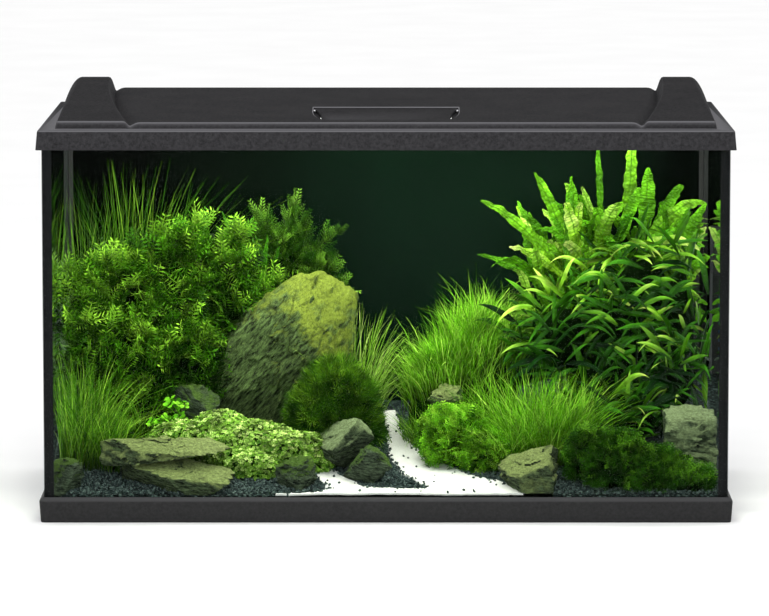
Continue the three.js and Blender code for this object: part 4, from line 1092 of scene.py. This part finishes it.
def clump(name, node, lumps, places, fronds, size, finish, sprig, shade, slot, seed, up=0.35, spread=0.9, low=0.84, shoots=()):
    """A bush whose surface is tufts of fronds that point outwards and up, with shoots that rise out of it."""
    rng = Random(seed)
    points = Points()

    def tuft(p, out, tone):
        for _ in range(fronds):
            aside = Vector((rng.gauss(0, 1), rng.gauss(0, 1), rng.gauss(0, 1)))
            aside = (aside - out * aside.dot(out)).normalized()
            direction = (out + aside * rng.uniform(0.25, spread) + Vector((0, 0, up))).normalized()
            long = rng.uniform(*size)
            for axis, limit in ((0, INSIDE_X - 0.001), (1, INSIDE_Y - 0.001)):
                if abs(p[axis] + direction[axis] * long) > limit:
                    direction[axis] *= -0.3
            direction.normalize()
            points.add(p, facing(direction, rng.uniform(0, 6.28)), (long, long, long), tone + rng.gauss(0, 0.16))

    for _ in range(places):
        p, out = lump_surface(lumps, rng, low, 1.05, -0.55)
        # Tufts that face up and to the front get a lighter tint: painted light.
        tuft(p, out, 0.20 + 0.4 * max(out.z, 0) - 0.08 * out.y + rng.gauss(0, 0.26))
    for start, end, count in shoots:
        start, end = Vector(start) * MM, Vector(end) * MM
        for i in range(count):
            t = i / count
            p = start.lerp(end, t) + Vector((0.003 * math.sin(9 * t + start.x * 99) + rng.gauss(0, 0.002), 0, 0))
            tuft(p, ((end - start).normalized() + Vector((rng.gauss(0, 0.6), rng.gauss(0, 0.5), 0.5))).normalized(), 0.3 + 0.4 * t + rng.gauss(0, 0.1))
    core = mound(name + "_core", lumps, shade)
    return keep(grow(name, points, SPRIGS, {"Piece": sprig, "Finish": finish}, core), "tank", slot, node)


def arch(points, base, tip, lift, width, face, tint):
    """A leaf from base to tip that starts out steeper by a lift and shows its face in a direction. Metres."""
    base, tip = Vector(base), Vector(tip)
    for axis, limit in ((0, INSIDE_X - 0.0015), (1, INSIDE_Y - 0.0015), (2, 0.3265)):
        tip[axis] = min(max(tip[axis], -limit), limit)
    rise = tip - base + Vector((0, 0, lift))
    droop = Vector((0, 0, -lift))
    for t in (0.25, 0.5, 0.75, 1.0):
        spot = base + rise * t + droop * t**3
        if spot.x > FILTER_CLEAR[0] - width / 2 and spot.y > FILTER_CLEAR[1] - width / 2:
            return
    z = rise.normalized()
    x = z.cross(Vector(face))
    x = x.normalized() if x.length > 0.05 else Vector((1, 0, 0))
    turn = Matrix((x, z.cross(x), z)).transposed().to_euler()
    points.add(base, turn, (width, width, rise.length), tint, (0, 0, 0), droop)


def grass(name, node, patches, tones, slot, seed, core=None, segments=5, tip_power=0.7, limit_z=0.326):
    """Blades that fan out of patches: (x, y, reach x, reach y, base z or None, count, length, width, fan, bend)."""
    rng = Random(seed)
    points = Points()
    for px, py, rx, ry, pz, count, length, width, fan, bend, pull in patches:
        for _ in range(count):
            angle, r = rng.uniform(0, 2 * math.pi), math.sqrt(rng.random())
            x, y = px + rx * r * math.cos(angle), py + ry * r * math.sin(angle)
            if not inside(x, y, 0.002):
                continue
            z = ground(x, y) - 0.001 if pz is None else pz(x, y) if callable(pz) else pz
            long = rng.uniform(*length)
            away = Vector(((x - px) / max(rx, 1e-4), (y - py) / max(ry, 1e-4), 0))
            away += Vector((rng.gauss(0, 0.7), rng.gauss(0, 0.7), 0)) + Vector((pull[0], pull[1], 0))
            lean = away * long * fan
            droop = Vector((lean.x, lean.y, 0)) * bend * rng.uniform(0.2, 1.9)
            for axis, limit in ((0, INSIDE_X - 0.001), (1, INSIDE_Y - 0.001)):
                reach = (x, y)[axis] + lean[axis] + droop[axis]
                if abs(reach) > limit:
                    over = (abs(reach) - limit) * (1 if reach > 0 else -1)
                    share = over / (lean[axis] + droop[axis])
                    lean[axis] *= 1 - share
                    droop[axis] *= 1 - share
            run = lean.length / long
            drop = long * (1 - math.sqrt(max(0.05, 1 - min(run, 0.97) ** 2)))
            lean.z = -drop * 0.6
            droop.z = -drop * 0.5 - long * 0.22 * bend * min(run * 1.5, 1)
            long = min(long, limit_z - z)
            wide = rng.uniform(*width)
            points.add((x, y, z), (0, 0, rng.uniform(0, 6.28)), (wide, wide, long), rng.gauss(0.46, 0.27), lean, droop)
    inputs = {"Segments": segments, "Columns": 2, "Base power": 0.05, "Tip power": tip_power, "Fold": 0.0, "Crinkle": 0.0, "Finish": tones}
    return keep(grow(name, points, BLADES, inputs, core), "tank", slot, node)


def build_left_plants():
    moss_green = leaf_finish("feathery_leaves", (0.004, 0.022, 0.001), (0.055, 0.200, 0.005), (0.36, 0.68, 0.05), roughness=0.4, base=0.06)
    plume_green = leaf_finish("plume_leaves", (0.003, 0.018, 0.001), (0.020, 0.080, 0.003), (0.16, 0.34, 0.03), roughness=0.4, base=0.15)
    needle_green = leaf_finish("needle_leaves", (0.005, 0.030, 0.001), (0.035, 0.12, 0.003), (0.20, 0.38, 0.02), roughness=0.6, base=0.15)
    grass_green = leaf_finish("tall_grass_blades", (0.015, 0.08, 0.002), (0.09, 0.28, 0.007), (0.42, 0.72, 0.07))
    rear_green = leaf_finish("rear_grass_blades", (0.008, 0.05, 0.001), (0.045, 0.155, 0.004), (0.26, 0.48, 0.04))
    carpet_green = leaf_finish("carpet_leaves", (0.05, 0.15, 0.010), (0.25, 0.48, 0.05), (0.68, 0.84, 0.28), base=0.15)
    light_grass = leaf_finish("light_grass_blades", (0.04, 0.16, 0.006), (0.20, 0.42, 0.02), (0.60, 0.78, 0.22))
    frond = frond_shape("frond", 5, 0.52, 0.036, 0.95)
    fine_frond = frond_shape("fine_frond", 6, 0.34, 0.026, 0.7)
    needle = needle_shape("needle", 7, 0.016, 0.45)
    rosette = rosette_shape("rosette", 4, 0.42, 0.25)
    tiny = leaflets("tiny_rosette", [
        ((0.1 * cx, 0.1 * cy, 0), (cx, cy, 0.35), (-0.4 * cy, 0.4 * cx, 0), 0.3, 1.0)
        for cx, cy in ((1, 0), (0, 1), (-1, 0), (0, -1))
    ])

    left = [
        (-0.270, 0.034, 0.128, 0.040, 0.040, 0.068),
        (-0.232, 0.038, 0.142, 0.046, 0.036, 0.074),
        (-0.190, 0.044, 0.158, 0.034, 0.032, 0.074),
        (-0.150, 0.048, 0.156, 0.030, 0.028, 0.070),
        (-0.240, 0.004, 0.100, 0.056, 0.030, 0.056),
        (-0.277, 0.010, 0.104, 0.022, 0.034, 0.066),
        (-0.186, 0.014, 0.104, 0.036, 0.028, 0.055),
    ]
    shoots = [((-283, 30, 150), (-290, 25, 205), 10), ((-215, 40, 190), (-205, 35, 236), 12), ((-190, 45, 205), (-170, 40, 246), 14),
              ((-150, 45, 200), (-128, 35, 236), 14), ((-250, 25, 180), (-258, 15, 214), 10), ((-130, 40, 170), (-104, 30, 190), 10)]
    clump("moss_bush_left_leaves", "moss_bush_left", left, 1150, 5, (0.011, 0.025), moss_green, frond, (0.002, 0.008, 0.001), "leaf_dark", 21, 0.3, 1.1, 0.7, shoots)
    back = [
        (-0.128, 0.084, 0.152, 0.030, 0.028, 0.080),
        (-0.098, 0.090, 0.150, 0.034, 0.028, 0.082),
        (-0.066, 0.094, 0.136, 0.026, 0.026, 0.070),
        (-0.112, 0.078, 0.110, 0.045, 0.026, 0.070),
    ]
    shoots = [((-100, 88, 190), (-83, 86, 257), 22), ((-120, 84, 200), (-116, 80, 246), 16), ((-75, 90, 180), (-52, 88, 230), 18),
              ((-66, 92, 160), (-52, 90, 205), 14), ((-92, 88, 200), (-70, 84, 238), 14)]
    clump("moss_bush_back_leaves", "moss_bush_back", back, 900, 5, (0.010, 0.021), plume_green, fine_frond, (0.001, 0.006, 0.001), "leaf_dark", 22, 0.3, 1.0, 0.7, shoots)
    ball = [(-0.046, -0.047, 0.090, 0.026, 0.020, 0.036), (-0.064, -0.052, 0.076, 0.020, 0.018, 0.028), (-0.028, -0.050, 0.080, 0.018, 0.016, 0.032), (-0.038, -0.056, 0.066, 0.030, 0.016, 0.026)]
    clump("needle_moss_leaves", "needle_moss", ball, 1300, 3, (0.008, 0.016), needle_green, needle, (0.001, 0.006, 0.001), "leaf_dark", 23, 0.3, 1.0, 0.75)
    carpet = [
        (-0.120, -0.074, 0.048, 0.052, 0.026, 0.030),
        (-0.092, -0.082, 0.042, 0.034, 0.022, 0.028),
        (-0.148, -0.066, 0.054, 0.034, 0.022, 0.032),
        (-0.182, -0.072, 0.050, 0.034, 0.016, 0.028),
        (-0.118, -0.100, 0.036, 0.026, 0.014, 0.020),
        (-0.072, -0.078, 0.044, 0.026, 0.018, 0.024),
    ]
    clump("carpet_leaves_clump", "carpet_plant", carpet, 7000, 2, (0.0012, 0.0023), carpet_green, tiny, (0.02, 0.07, 0.004), "leaf_bright", 24, 0.8, 0.9, 0.88)

    grass("tall_grass_clump", "tall_grass_left", [
        (-0.237, 0.108, 0.018, 0.018, None, 300, (0.11, 0.218), (0.0007, 0.0012), 0.21, 0.42, (0.25, 0.0)),
        (-0.278, 0.104, 0.016, 0.030, None, 230, (0.10, 0.190), (0.0007, 0.0012), 0.20, 0.45, (0.15, 0.0)),
        (-0.215, 0.112, 0.022, 0.018, None, 170, (0.10, 0.200), (0.0007, 0.0012), 0.24, 0.45, (0.3, 0.0)),
    ], rear_green, "leaf_mid", 31, segments=8)
    grass("short_grass_clump", "short_grass_left", [
        (-0.270, -0.076, 0.022, 0.026, None, 480, (0.040, 0.095), (0.0007, 0.0012), 0.26, 0.5, (0.35, -0.25)),
        (-0.244, -0.090, 0.014, 0.016, None, 160, (0.04, 0.065), (0.0009, 0.0015), 0.30, 0.7, (0.5, -0.3)),
        (-0.268, -0.040, 0.020, 0.018, None, 240, (0.05, 0.100), (0.0007, 0.0012), 0.22, 0.4, (0.3, -0.1)),
        (-0.218, -0.036, 0.006, 0.006, None, 90, (0.040, 0.062), (0.0009, 0.0014), 0.50, 0.5, (0.0, -0.2)),
    ], grass_green, "leaf_mid", 32, segments=6)
    grass("grass_tuft_clump", "grass_tuft_centre", [
        (-0.028, 0.006, 0.012, 0.014, None, 330, (0.070, 0.130), (0.0007, 0.0012), 0.22, 0.55, (0.25, -0.1)),
        (-0.016, 0.026, 0.010, 0.012, None, 130, (0.050, 0.100), (0.0007, 0.0012), 0.26, 0.5, (0.2, -0.1)),
    ], light_grass, "leaf_bright", 33, segments=7)

    rng = Random(34)
    clover = Points()
    for _ in range(34):
        x, y = rng.uniform(-0.212, -0.178), rng.uniform(-0.066, -0.040)
        size = rng.uniform(0.004, 0.0065)
        clover.add((x, y, ground(x, y) + rng.uniform(0.016, 0.044)), (rng.gauss(0.5, 0.3), rng.gauss(0, 0.3), rng.uniform(0, 6.28)), (size,) * 3, rng.gauss(0.6, 0.2))
    bright = leaf_finish("clover_leaves", (0.04, 0.20, 0.004), (0.12, 0.42, 0.01), (0.25, 0.62, 0.03))
    keep(grow("clover_clump", clover, SPRIGS, {"Piece": rosette, "Finish": bright}), "tank", "leaf_bright")

    crinkled = Points()
    for base, tip, width in (
        ((-118, 62, 170), (-150, 52, 253), 0.011), ((-122, 60, 175), (-134, 50, 236), 0.010), ((-114, 62, 160), (-108, 50, 232), 0.011),
        ((-120, 60, 150), (-112, 44, 205), 0.010), ((-126, 58, 165), (-158, 46, 214), 0.009), ((-112, 62, 170), (-96, 52, 222), 0.009),
        ((-124, 56, 140), (-116, 40, 180), 0.009), ((-130, 60, 180), (-146, 54, 226), 0.008),
    ):
        arch(crinkled, Vector(base) * MM, Vector(tip) * MM, 0.010, width, (rng.gauss(0, 0.3), -1, 0.3), rng.gauss(0.35, 0.15))
    dark_leaf = leaf_finish("dark_crinkled_leaves", (0.012, 0.075, 0.002), (0.04, 0.17, 0.004), (0.12, 0.38, 0.012), quilted=0.8)
    inputs = {"Segments": 18, "Columns": 5, "Base power": 0.5, "Tip power": 0.7, "Fold": 0.3, "Crinkle": 0.004, "Finish": dark_leaf}
    keep(grow("dark_crinkled_plant", crinkled, BLADES, inputs), "tank", "leaf_dark")
    for spare in (frond, fine_frond, needle, rosette, tiny):
        bpy.data.objects.remove(spare)


def build_right_plants():
    hair_green = leaf_finish("hair_grass_blades", (0.02, 0.11, 0.002), (0.16, 0.46, 0.008), (0.56, 0.88, 0.12), base=0.2)
    moss_green = leaf_finish("mound_moss_leaves", (0.03, 0.14, 0.004), (0.22, 0.58, 0.018), (0.52, 0.88, 0.08), roughness=0.5)
    dark_green = leaf_finish("shaded_moss_leaves", (0.006, 0.035, 0.001), (0.03, 0.12, 0.004), (0.16, 0.38, 0.02), roughness=0.5, base=0.15)
    sprig = frond_shape("short_frond", 4, 0.5, 0.05, 0.9)

    slope = [(0.060, 0.018, 0.075, 0.036, 0.030, 0.044), (0.088, 0.040, 0.090, 0.042, 0.040, 0.062), (0.042, 0.036, 0.068, 0.026, 0.034, 0.044)]

    def on_slope(x, y):
        best = ground(x, y)
        for cx, cy, cz, rx, ry, rz in slope:
            within = 1 - ((x - cx) / rx) ** 2 - ((y - cy) / ry) ** 2
            if within > 0:
                best = max(best, cz + rz * math.sqrt(within) * 0.86)
        return best - 0.002

    core = mound("slope_core", slope, (0.006, 0.03, 0.002))
    grass("grass_slope_clump", "grass_slope_right", [
        (0.060, 0.010, 0.038, 0.036, on_slope, 1500, (0.022, 0.046), (0.0007, 0.0012), 0.28, 0.45, (-0.1, -0.35)),
        (0.082, 0.038, 0.044, 0.042, on_slope, 1500, (0.022, 0.052), (0.0007, 0.0012), 0.28, 0.45, (0.1, -0.3)),
        (0.036, 0.024, 0.020, 0.032, on_slope, 560, (0.022, 0.042), (0.0007, 0.0012), 0.28, 0.5, (-0.25, -0.2)),
        (0.060, 0.020, 0.060, 0.040, on_slope, 160, (0.045, 0.070), (0.0006, 0.0010), 0.36, 0.6, (-0.3, -0.1)),
    ], hair_green, "leaf_mid", 41, core, segments=4)
    grass("grass_front_clump", "grass_front_right", [
        (0.140, -0.066, 0.028, 0.018, None, 950, (0.035, 0.085), (0.0007, 0.0012), 0.32, 0.55, (0.0, -0.35)),
        (0.108, -0.072, 0.018, 0.014, None, 400, (0.030, 0.062), (0.0007, 0.0012), 0.36, 0.6, (-0.6, -0.3)),
        (0.168, -0.060, 0.016, 0.016, None, 280, (0.040, 0.080), (0.0007, 0.0012), 0.3, 0.6, (0.3, -0.3)),
        (0.120, -0.040, 0.040, 0.020, None, 420, (0.045, 0.085), (0.0009, 0.0015), 0.26, 0.5, (-0.2, -0.3)),
    ], hair_green, "leaf_mid", 42, segments=5)
    mound_slope = [(0.066, -0.064, 0.056, 0.028, 0.018, 0.028), (0.052, -0.050, 0.060, 0.018, 0.016, 0.022), (0.090, -0.074, 0.046, 0.020, 0.014, 0.020)]
    clump("slope_moss_leaves", "moss_mound_slope", mound_slope, 900, 4, (0.006, 0.012), moss_green, sprig, (0.004, 0.02, 0.001), "leaf_dark", 43)
    mound_front = [(0.205, -0.126, 0.042, 0.026, 0.018, 0.028), (0.238, -0.126, 0.036, 0.026, 0.018, 0.020), (0.264, -0.134, 0.028, 0.026, 0.012, 0.013), (0.180, -0.116, 0.048, 0.016, 0.014, 0.024)]
    clump("front_moss_leaves", "moss_mound_front", mound_front, 1000, 4, (0.006, 0.013), dark_green, sprig, (0.002, 0.01, 0.001), "leaf_dark", 44)
    bpy.data.objects.remove(sprig)
    build_leafy_bush()
    build_fern()


def build_leafy_bush():
    willow = leaf_finish("willow_leaves", (0.002, 0.018, 0.001), (0.026, 0.125, 0.003), (0.20, 0.48, 0.015), (0.62, 0.68, 0.16), 0.0, 0.3, 0.3)
    rng = Random(51)
    lumps = [
        (0.160, 0.004, 0.140, 0.050, 0.034, 0.056),
        (0.215, 0.006, 0.150, 0.050, 0.036, 0.070),
        (0.266, 0.008, 0.150, 0.036, 0.036, 0.092),
        (0.205, -0.010, 0.100, 0.062, 0.030, 0.050),
        (0.232, 0.020, 0.185, 0.060, 0.026, 0.052),
        (0.266, -0.026, 0.120, 0.030, 0.030, 0.060),
        (0.222, -0.040, 0.072, 0.052, 0.024, 0.034),
    ]
    points = Points()
    while len(points.at) < 760:
        p, out = lump_surface(lumps, rng, 0.35, 0.95, -0.8)
        long = rng.uniform(0.018, 0.044)
        angle = rng.choice((-1, 1)) * abs(rng.gauss(0.95, 0.6)) + 0.7 * out.x
        front = rng.uniform(-0.2, 0.7) if out.y < 0.2 else rng.uniform(-0.7, 0.1)
        direction = Vector((math.sin(angle), -front, math.cos(angle) * 0.7 + rng.gauss(-0.2, 0.4))).normalized()
        tip = p + direction * long
        if not inside(tip.x, tip.y, 0.0005) or tip.z < ground(tip.x, tip.y):
            continue
        face = (rng.gauss(0, 0.5), -0.85 if out.y < 0.2 else 0.85, 0.6 + rng.gauss(0, 0.3))
        # Leaves that face up and sit higher get a lighter tint: painted light from above.
        arch(points, p, tip, long * rng.uniform(0.05, 0.6), long * rng.uniform(0.3, 0.46), face, 0.30 + 0.25 * out.z + 1.0 * (p.z - 0.15) + rng.gauss(0, 0.26))
    core_lumps = [(x, y + 0.006, z, rx * 0.5, ry * 0.5, rz * 0.7) for x, y, z, rx, ry, rz in lumps]
    core = mound("leafy_core", core_lumps, (0.003, 0.012, 0.001))
    inputs = {"Segments": 8, "Columns": 3, "Base power": 0.75, "Tip power": 1.0, "Fold": 0.3, "Crinkle": 0.0014, "Finish": willow}
    keep(grow("willow_leaf_bush", points, BLADES, inputs, core), "tank", "leaf_mid", "leafy_bush_right")


def build_fern():
    blade = leaf_finish("fern_leaves", (0.03, 0.14, 0.002), (0.11, 0.36, 0.008), (0.26, 0.56, 0.02), (0.66, 0.72, 0.24), 0.75, 0.42, 0.5)
    rng = Random(61)
    points = Points()
    placed = [
        ((172, 72, 205), (136, 60, 288), 0.017, 0.010, 0.55),
        ((160, 68, 200), (86, 40, 264), 0.014, 0.020, 0.60),
        ((222, 78, 235), (226, 72, 322), 0.019, 0.0, 0.62),
        ((238, 76, 235), (240, 66, 292), 0.025, 0.004, 0.50),
        ((176, 78, 215), (170, 76, 283), 0.014, 0.0, 0.45),
        ((178, 60, 210), (164, 44, 262), 0.021, 0.012, 0.92),
        ((198, 84, 230), (194, 82, 318), 0.010, 0.0, 0.20),
        ((238, 64, 225), (292, 40, 262), 0.020, 0.026, 0.66),
        ((222, 54, 215), (284, 20, 222), 0.017, 0.026, 0.88),
        ((190, 58, 210), (214, 40, 262), 0.020, 0.022, 0.72),
        ((204, 60, 215), (190, 42, 258), 0.019, 0.020, 0.55),
        ((166, 60, 190), (112, 34, 222), 0.014, 0.016, 0.95),
        ((186, 54, 195), (160, 22, 226), 0.017, 0.020, 0.86),
        ((150, 64, 180), (84, 50, 214), 0.010, 0.010, 0.30),
        ((214, 62, 225), (232, 44, 276), 0.018, 0.014, 0.45),
        ((246, 74, 230), (272, 64, 276), 0.018, 0.016, 0.35),
        ((240, 60, 205), (290, 44, 236), 0.018, 0.012, 0.40),
        ((244, 50, 190), (292, 20, 205), 0.016, 0.014, 0.55),
        ((250, 84, 200), (291, 70, 252), 0.017, 0.010, 0.30),
        ((244, 40, 180), (286, 8, 178), 0.016, 0.016, 0.70),
        ((262, 52, 205), (291, 34, 262), 0.017, 0.008, 0.45),
        ((258, 50, 195), (292, 22, 236), 0.016, 0.012, 0.60),
        ((262, 44, 185), (293, 6, 216), 0.015, 0.012, 0.40),
        ((256, 56, 200), (278, 44, 258), 0.018, 0.006, 0.30),
    ]
    for base, tip, width, lift, tint in placed:
        arch(points, Vector(base) * MM, Vector(tip) * MM, lift, 1.2 * width, (rng.gauss(0, 0.35), -1, 0.35), tint)
    for i in range(150):
        x = rng.uniform(0.140, 0.275)
        base = Vector((x, rng.uniform(0.054, 0.104), rng.uniform(0.150, 0.222) - (0.05 if i > 90 else 0.0)))
        angle, long = rng.gauss((x - 0.198) * 10, 0.6), rng.uniform(0.040, 0.078)
        front = rng.gauss(0.45, 0.4) if rng.random() < 0.8 else -0.5
        tip = base + Vector((math.sin(angle), -front, max(math.cos(angle), -0.1))).normalized() * long
        arch(points, base, tip, long * rng.uniform(0.1, 0.5), rng.uniform(0.012, 0.021), (rng.gauss(0, 0.45), -1, 0.45), rng.gauss(0.48, 0.27))
    core = mound("fern_core", [(0.185, 0.078, 0.120, 0.026, 0.014, 0.060), (0.210, 0.076, 0.130, 0.018, 0.014, 0.060)], (0.004, 0.016, 0.001))
    inputs = {"Segments": 20, "Columns": 6, "Base power": 0.42, "Tip power": 0.62, "Fold": 0.22, "Crinkle": 0.0075, "Finish": blade}
    keep(grow("crinkled_fern", points, BLADES, inputs, core), "tank", "leaf_bright", "fern_right")


def build_grains():
    """Loose gravel along the front glass and beside the sand, and a few grains on it."""
    rng = Random(71)
    points = Points()
    while len(points.at) < 8200:
        x = rng.uniform(-INSIDE_X + 0.002, INSIDE_X - 0.002)
        y = rng.uniform(-INSIDE_Y + 0.002, 0.06)
        if (GLASS_X - abs(x)) + (GLASS_Y - abs(y)) < 0.016:
            continue
        depth = sand_depth_inside(x / MM, y / MM) + ragged(x, y)
        near = y < -0.095 or -24 < depth
        if not near or depth > 1 and rng.random() > 0.10 * math.exp(-depth / 5) + 0.006:
            continue
        size = rng.uniform(0.0010, 0.0017)
        lift = 0.0004 if depth > 0 else -0.0006
        turn = [rng.uniform(0, 6.28) for _ in range(3)]
        points.add((x, y, ground(x, y) + lift + size * 0.3), turn, (size, size * rng.uniform(0.7, 1), size * rng.uniform(0.6, 0.9)), rng.random())
    work = bmesh.new()
    bmesh.ops.create_icosphere(work, subdivisions=1, radius=1.0)
    for vertex in work.verts:
        vertex.co *= 1 + 0.35 * noise.noise(vertex.co * 1.7)
    mesh = bpy.data.meshes.new("grain")
    work.to_mesh(mesh)
    work.free()
    grain_piece = bpy.data.objects.new("grain", mesh)
    bpy.context.scene.collection.objects.link(grain_piece)
    piece = grow("loose_gravel", points, SPRIGS, {"Piece": grain_piece, "Finish": grain_finish()})
    bpy.data.objects.remove(grain_piece)
    keep(piece, "tank", "gravel")


# ---------------------------------------------------------------- studio


def build_studio():
    scene = bpy.context.scene
    scene.view_settings.view_transform = "Standard"
    floor = mesh_object("studio_floor", [(-8, -8, 0), (8, -8, 0), (8, 8, 0), (-8, 8, 0)], [(0, 1, 2, 3)])
    material, tree, shader = finish_of("floor_paper", (0.93, 0.93, 0.93), 0.9, 0.1)
    tone = ramp(tree, grain(tree, 6, 2), (0.3, (0.92, 0.92, 0.92)), (0.7, (0.95, 0.95, 0.95)))
    tree.links.new(tone, shader.inputs["Base Color"])
    floor.data.materials.append(material)
    world = bpy.data.worlds.new("studio")
    world.use_nodes = True
    backdrop = world.node_tree.nodes["Background"]
    backdrop.inputs["Color"].default_value = (1, 1, 1, 1)
    backdrop.inputs["Strength"].default_value = 1.05
    scene.world = world

    def lamp(name, at, target, size, power, glossy=False, colour=(1, 1, 1)):
        data = bpy.data.lights.new(name, "AREA")
        data.shape = "RECTANGLE"
        data.size, data.size_y = size
        data.energy = power
        data.color = colour
        made = bpy.data.objects.new(name, data)
        made.matrix_world = Matrix.Translation(at) @ (Vector(target) - Vector(at)).to_track_quat("-Z", "Y").to_matrix().to_4x4()
        made.visible_camera = False
        made.visible_glossy = glossy
        scene.collection.objects.link(made)
        return made

    lamp("overhead_softbox", (0.0, -0.7, 2.3), (0, 0, 0.2), (2.4, 1.2), 8, True)
    lamp("front_softbox", (0.0, -2.4, 1.0), (0, 0, 0.15), (2.0, 1.2), 9)
    inner = lamp("tank_lamp", (0, -0.006, 0.333), (0, -0.006, 0.0), (0.56, 0.26), 2.3, colour=(1.0, 1.0, 0.88))
    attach(inner, "hood")
    front = lamp("tank_front_lamp", (0, -0.140, 0.331), (0, 0.02, 0.16), (0.54, 0.02), 0.75, colour=(1.0, 1.0, 0.92))
    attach(front, "hood")

    camera = bpy.data.cameras.new("camera")
    camera.lens = 233.5
    camera.sensor_width = 36
    camera.clip_end = 50
    holder = bpy.data.objects.new("camera", camera)
    at, target = Vector((0, -4.480, 0.718)), Vector((-0.0013, -0.160, 0.190))
    holder.matrix_world = Matrix.Translation(at) @ (target - at).to_track_quat("-Z", "Y").to_matrix().to_4x4()
    scene.collection.objects.link(holder)
    scene.camera = holder


BLADES = blade_rule()
SPRIGS = sprig_rule()

dress_frame_nodes()
build_hood()
build_hatch()
build_base_frame()
build_ground()
build_grains()
build_rocks()
build_left_plants()
build_right_plants()
build_studio()
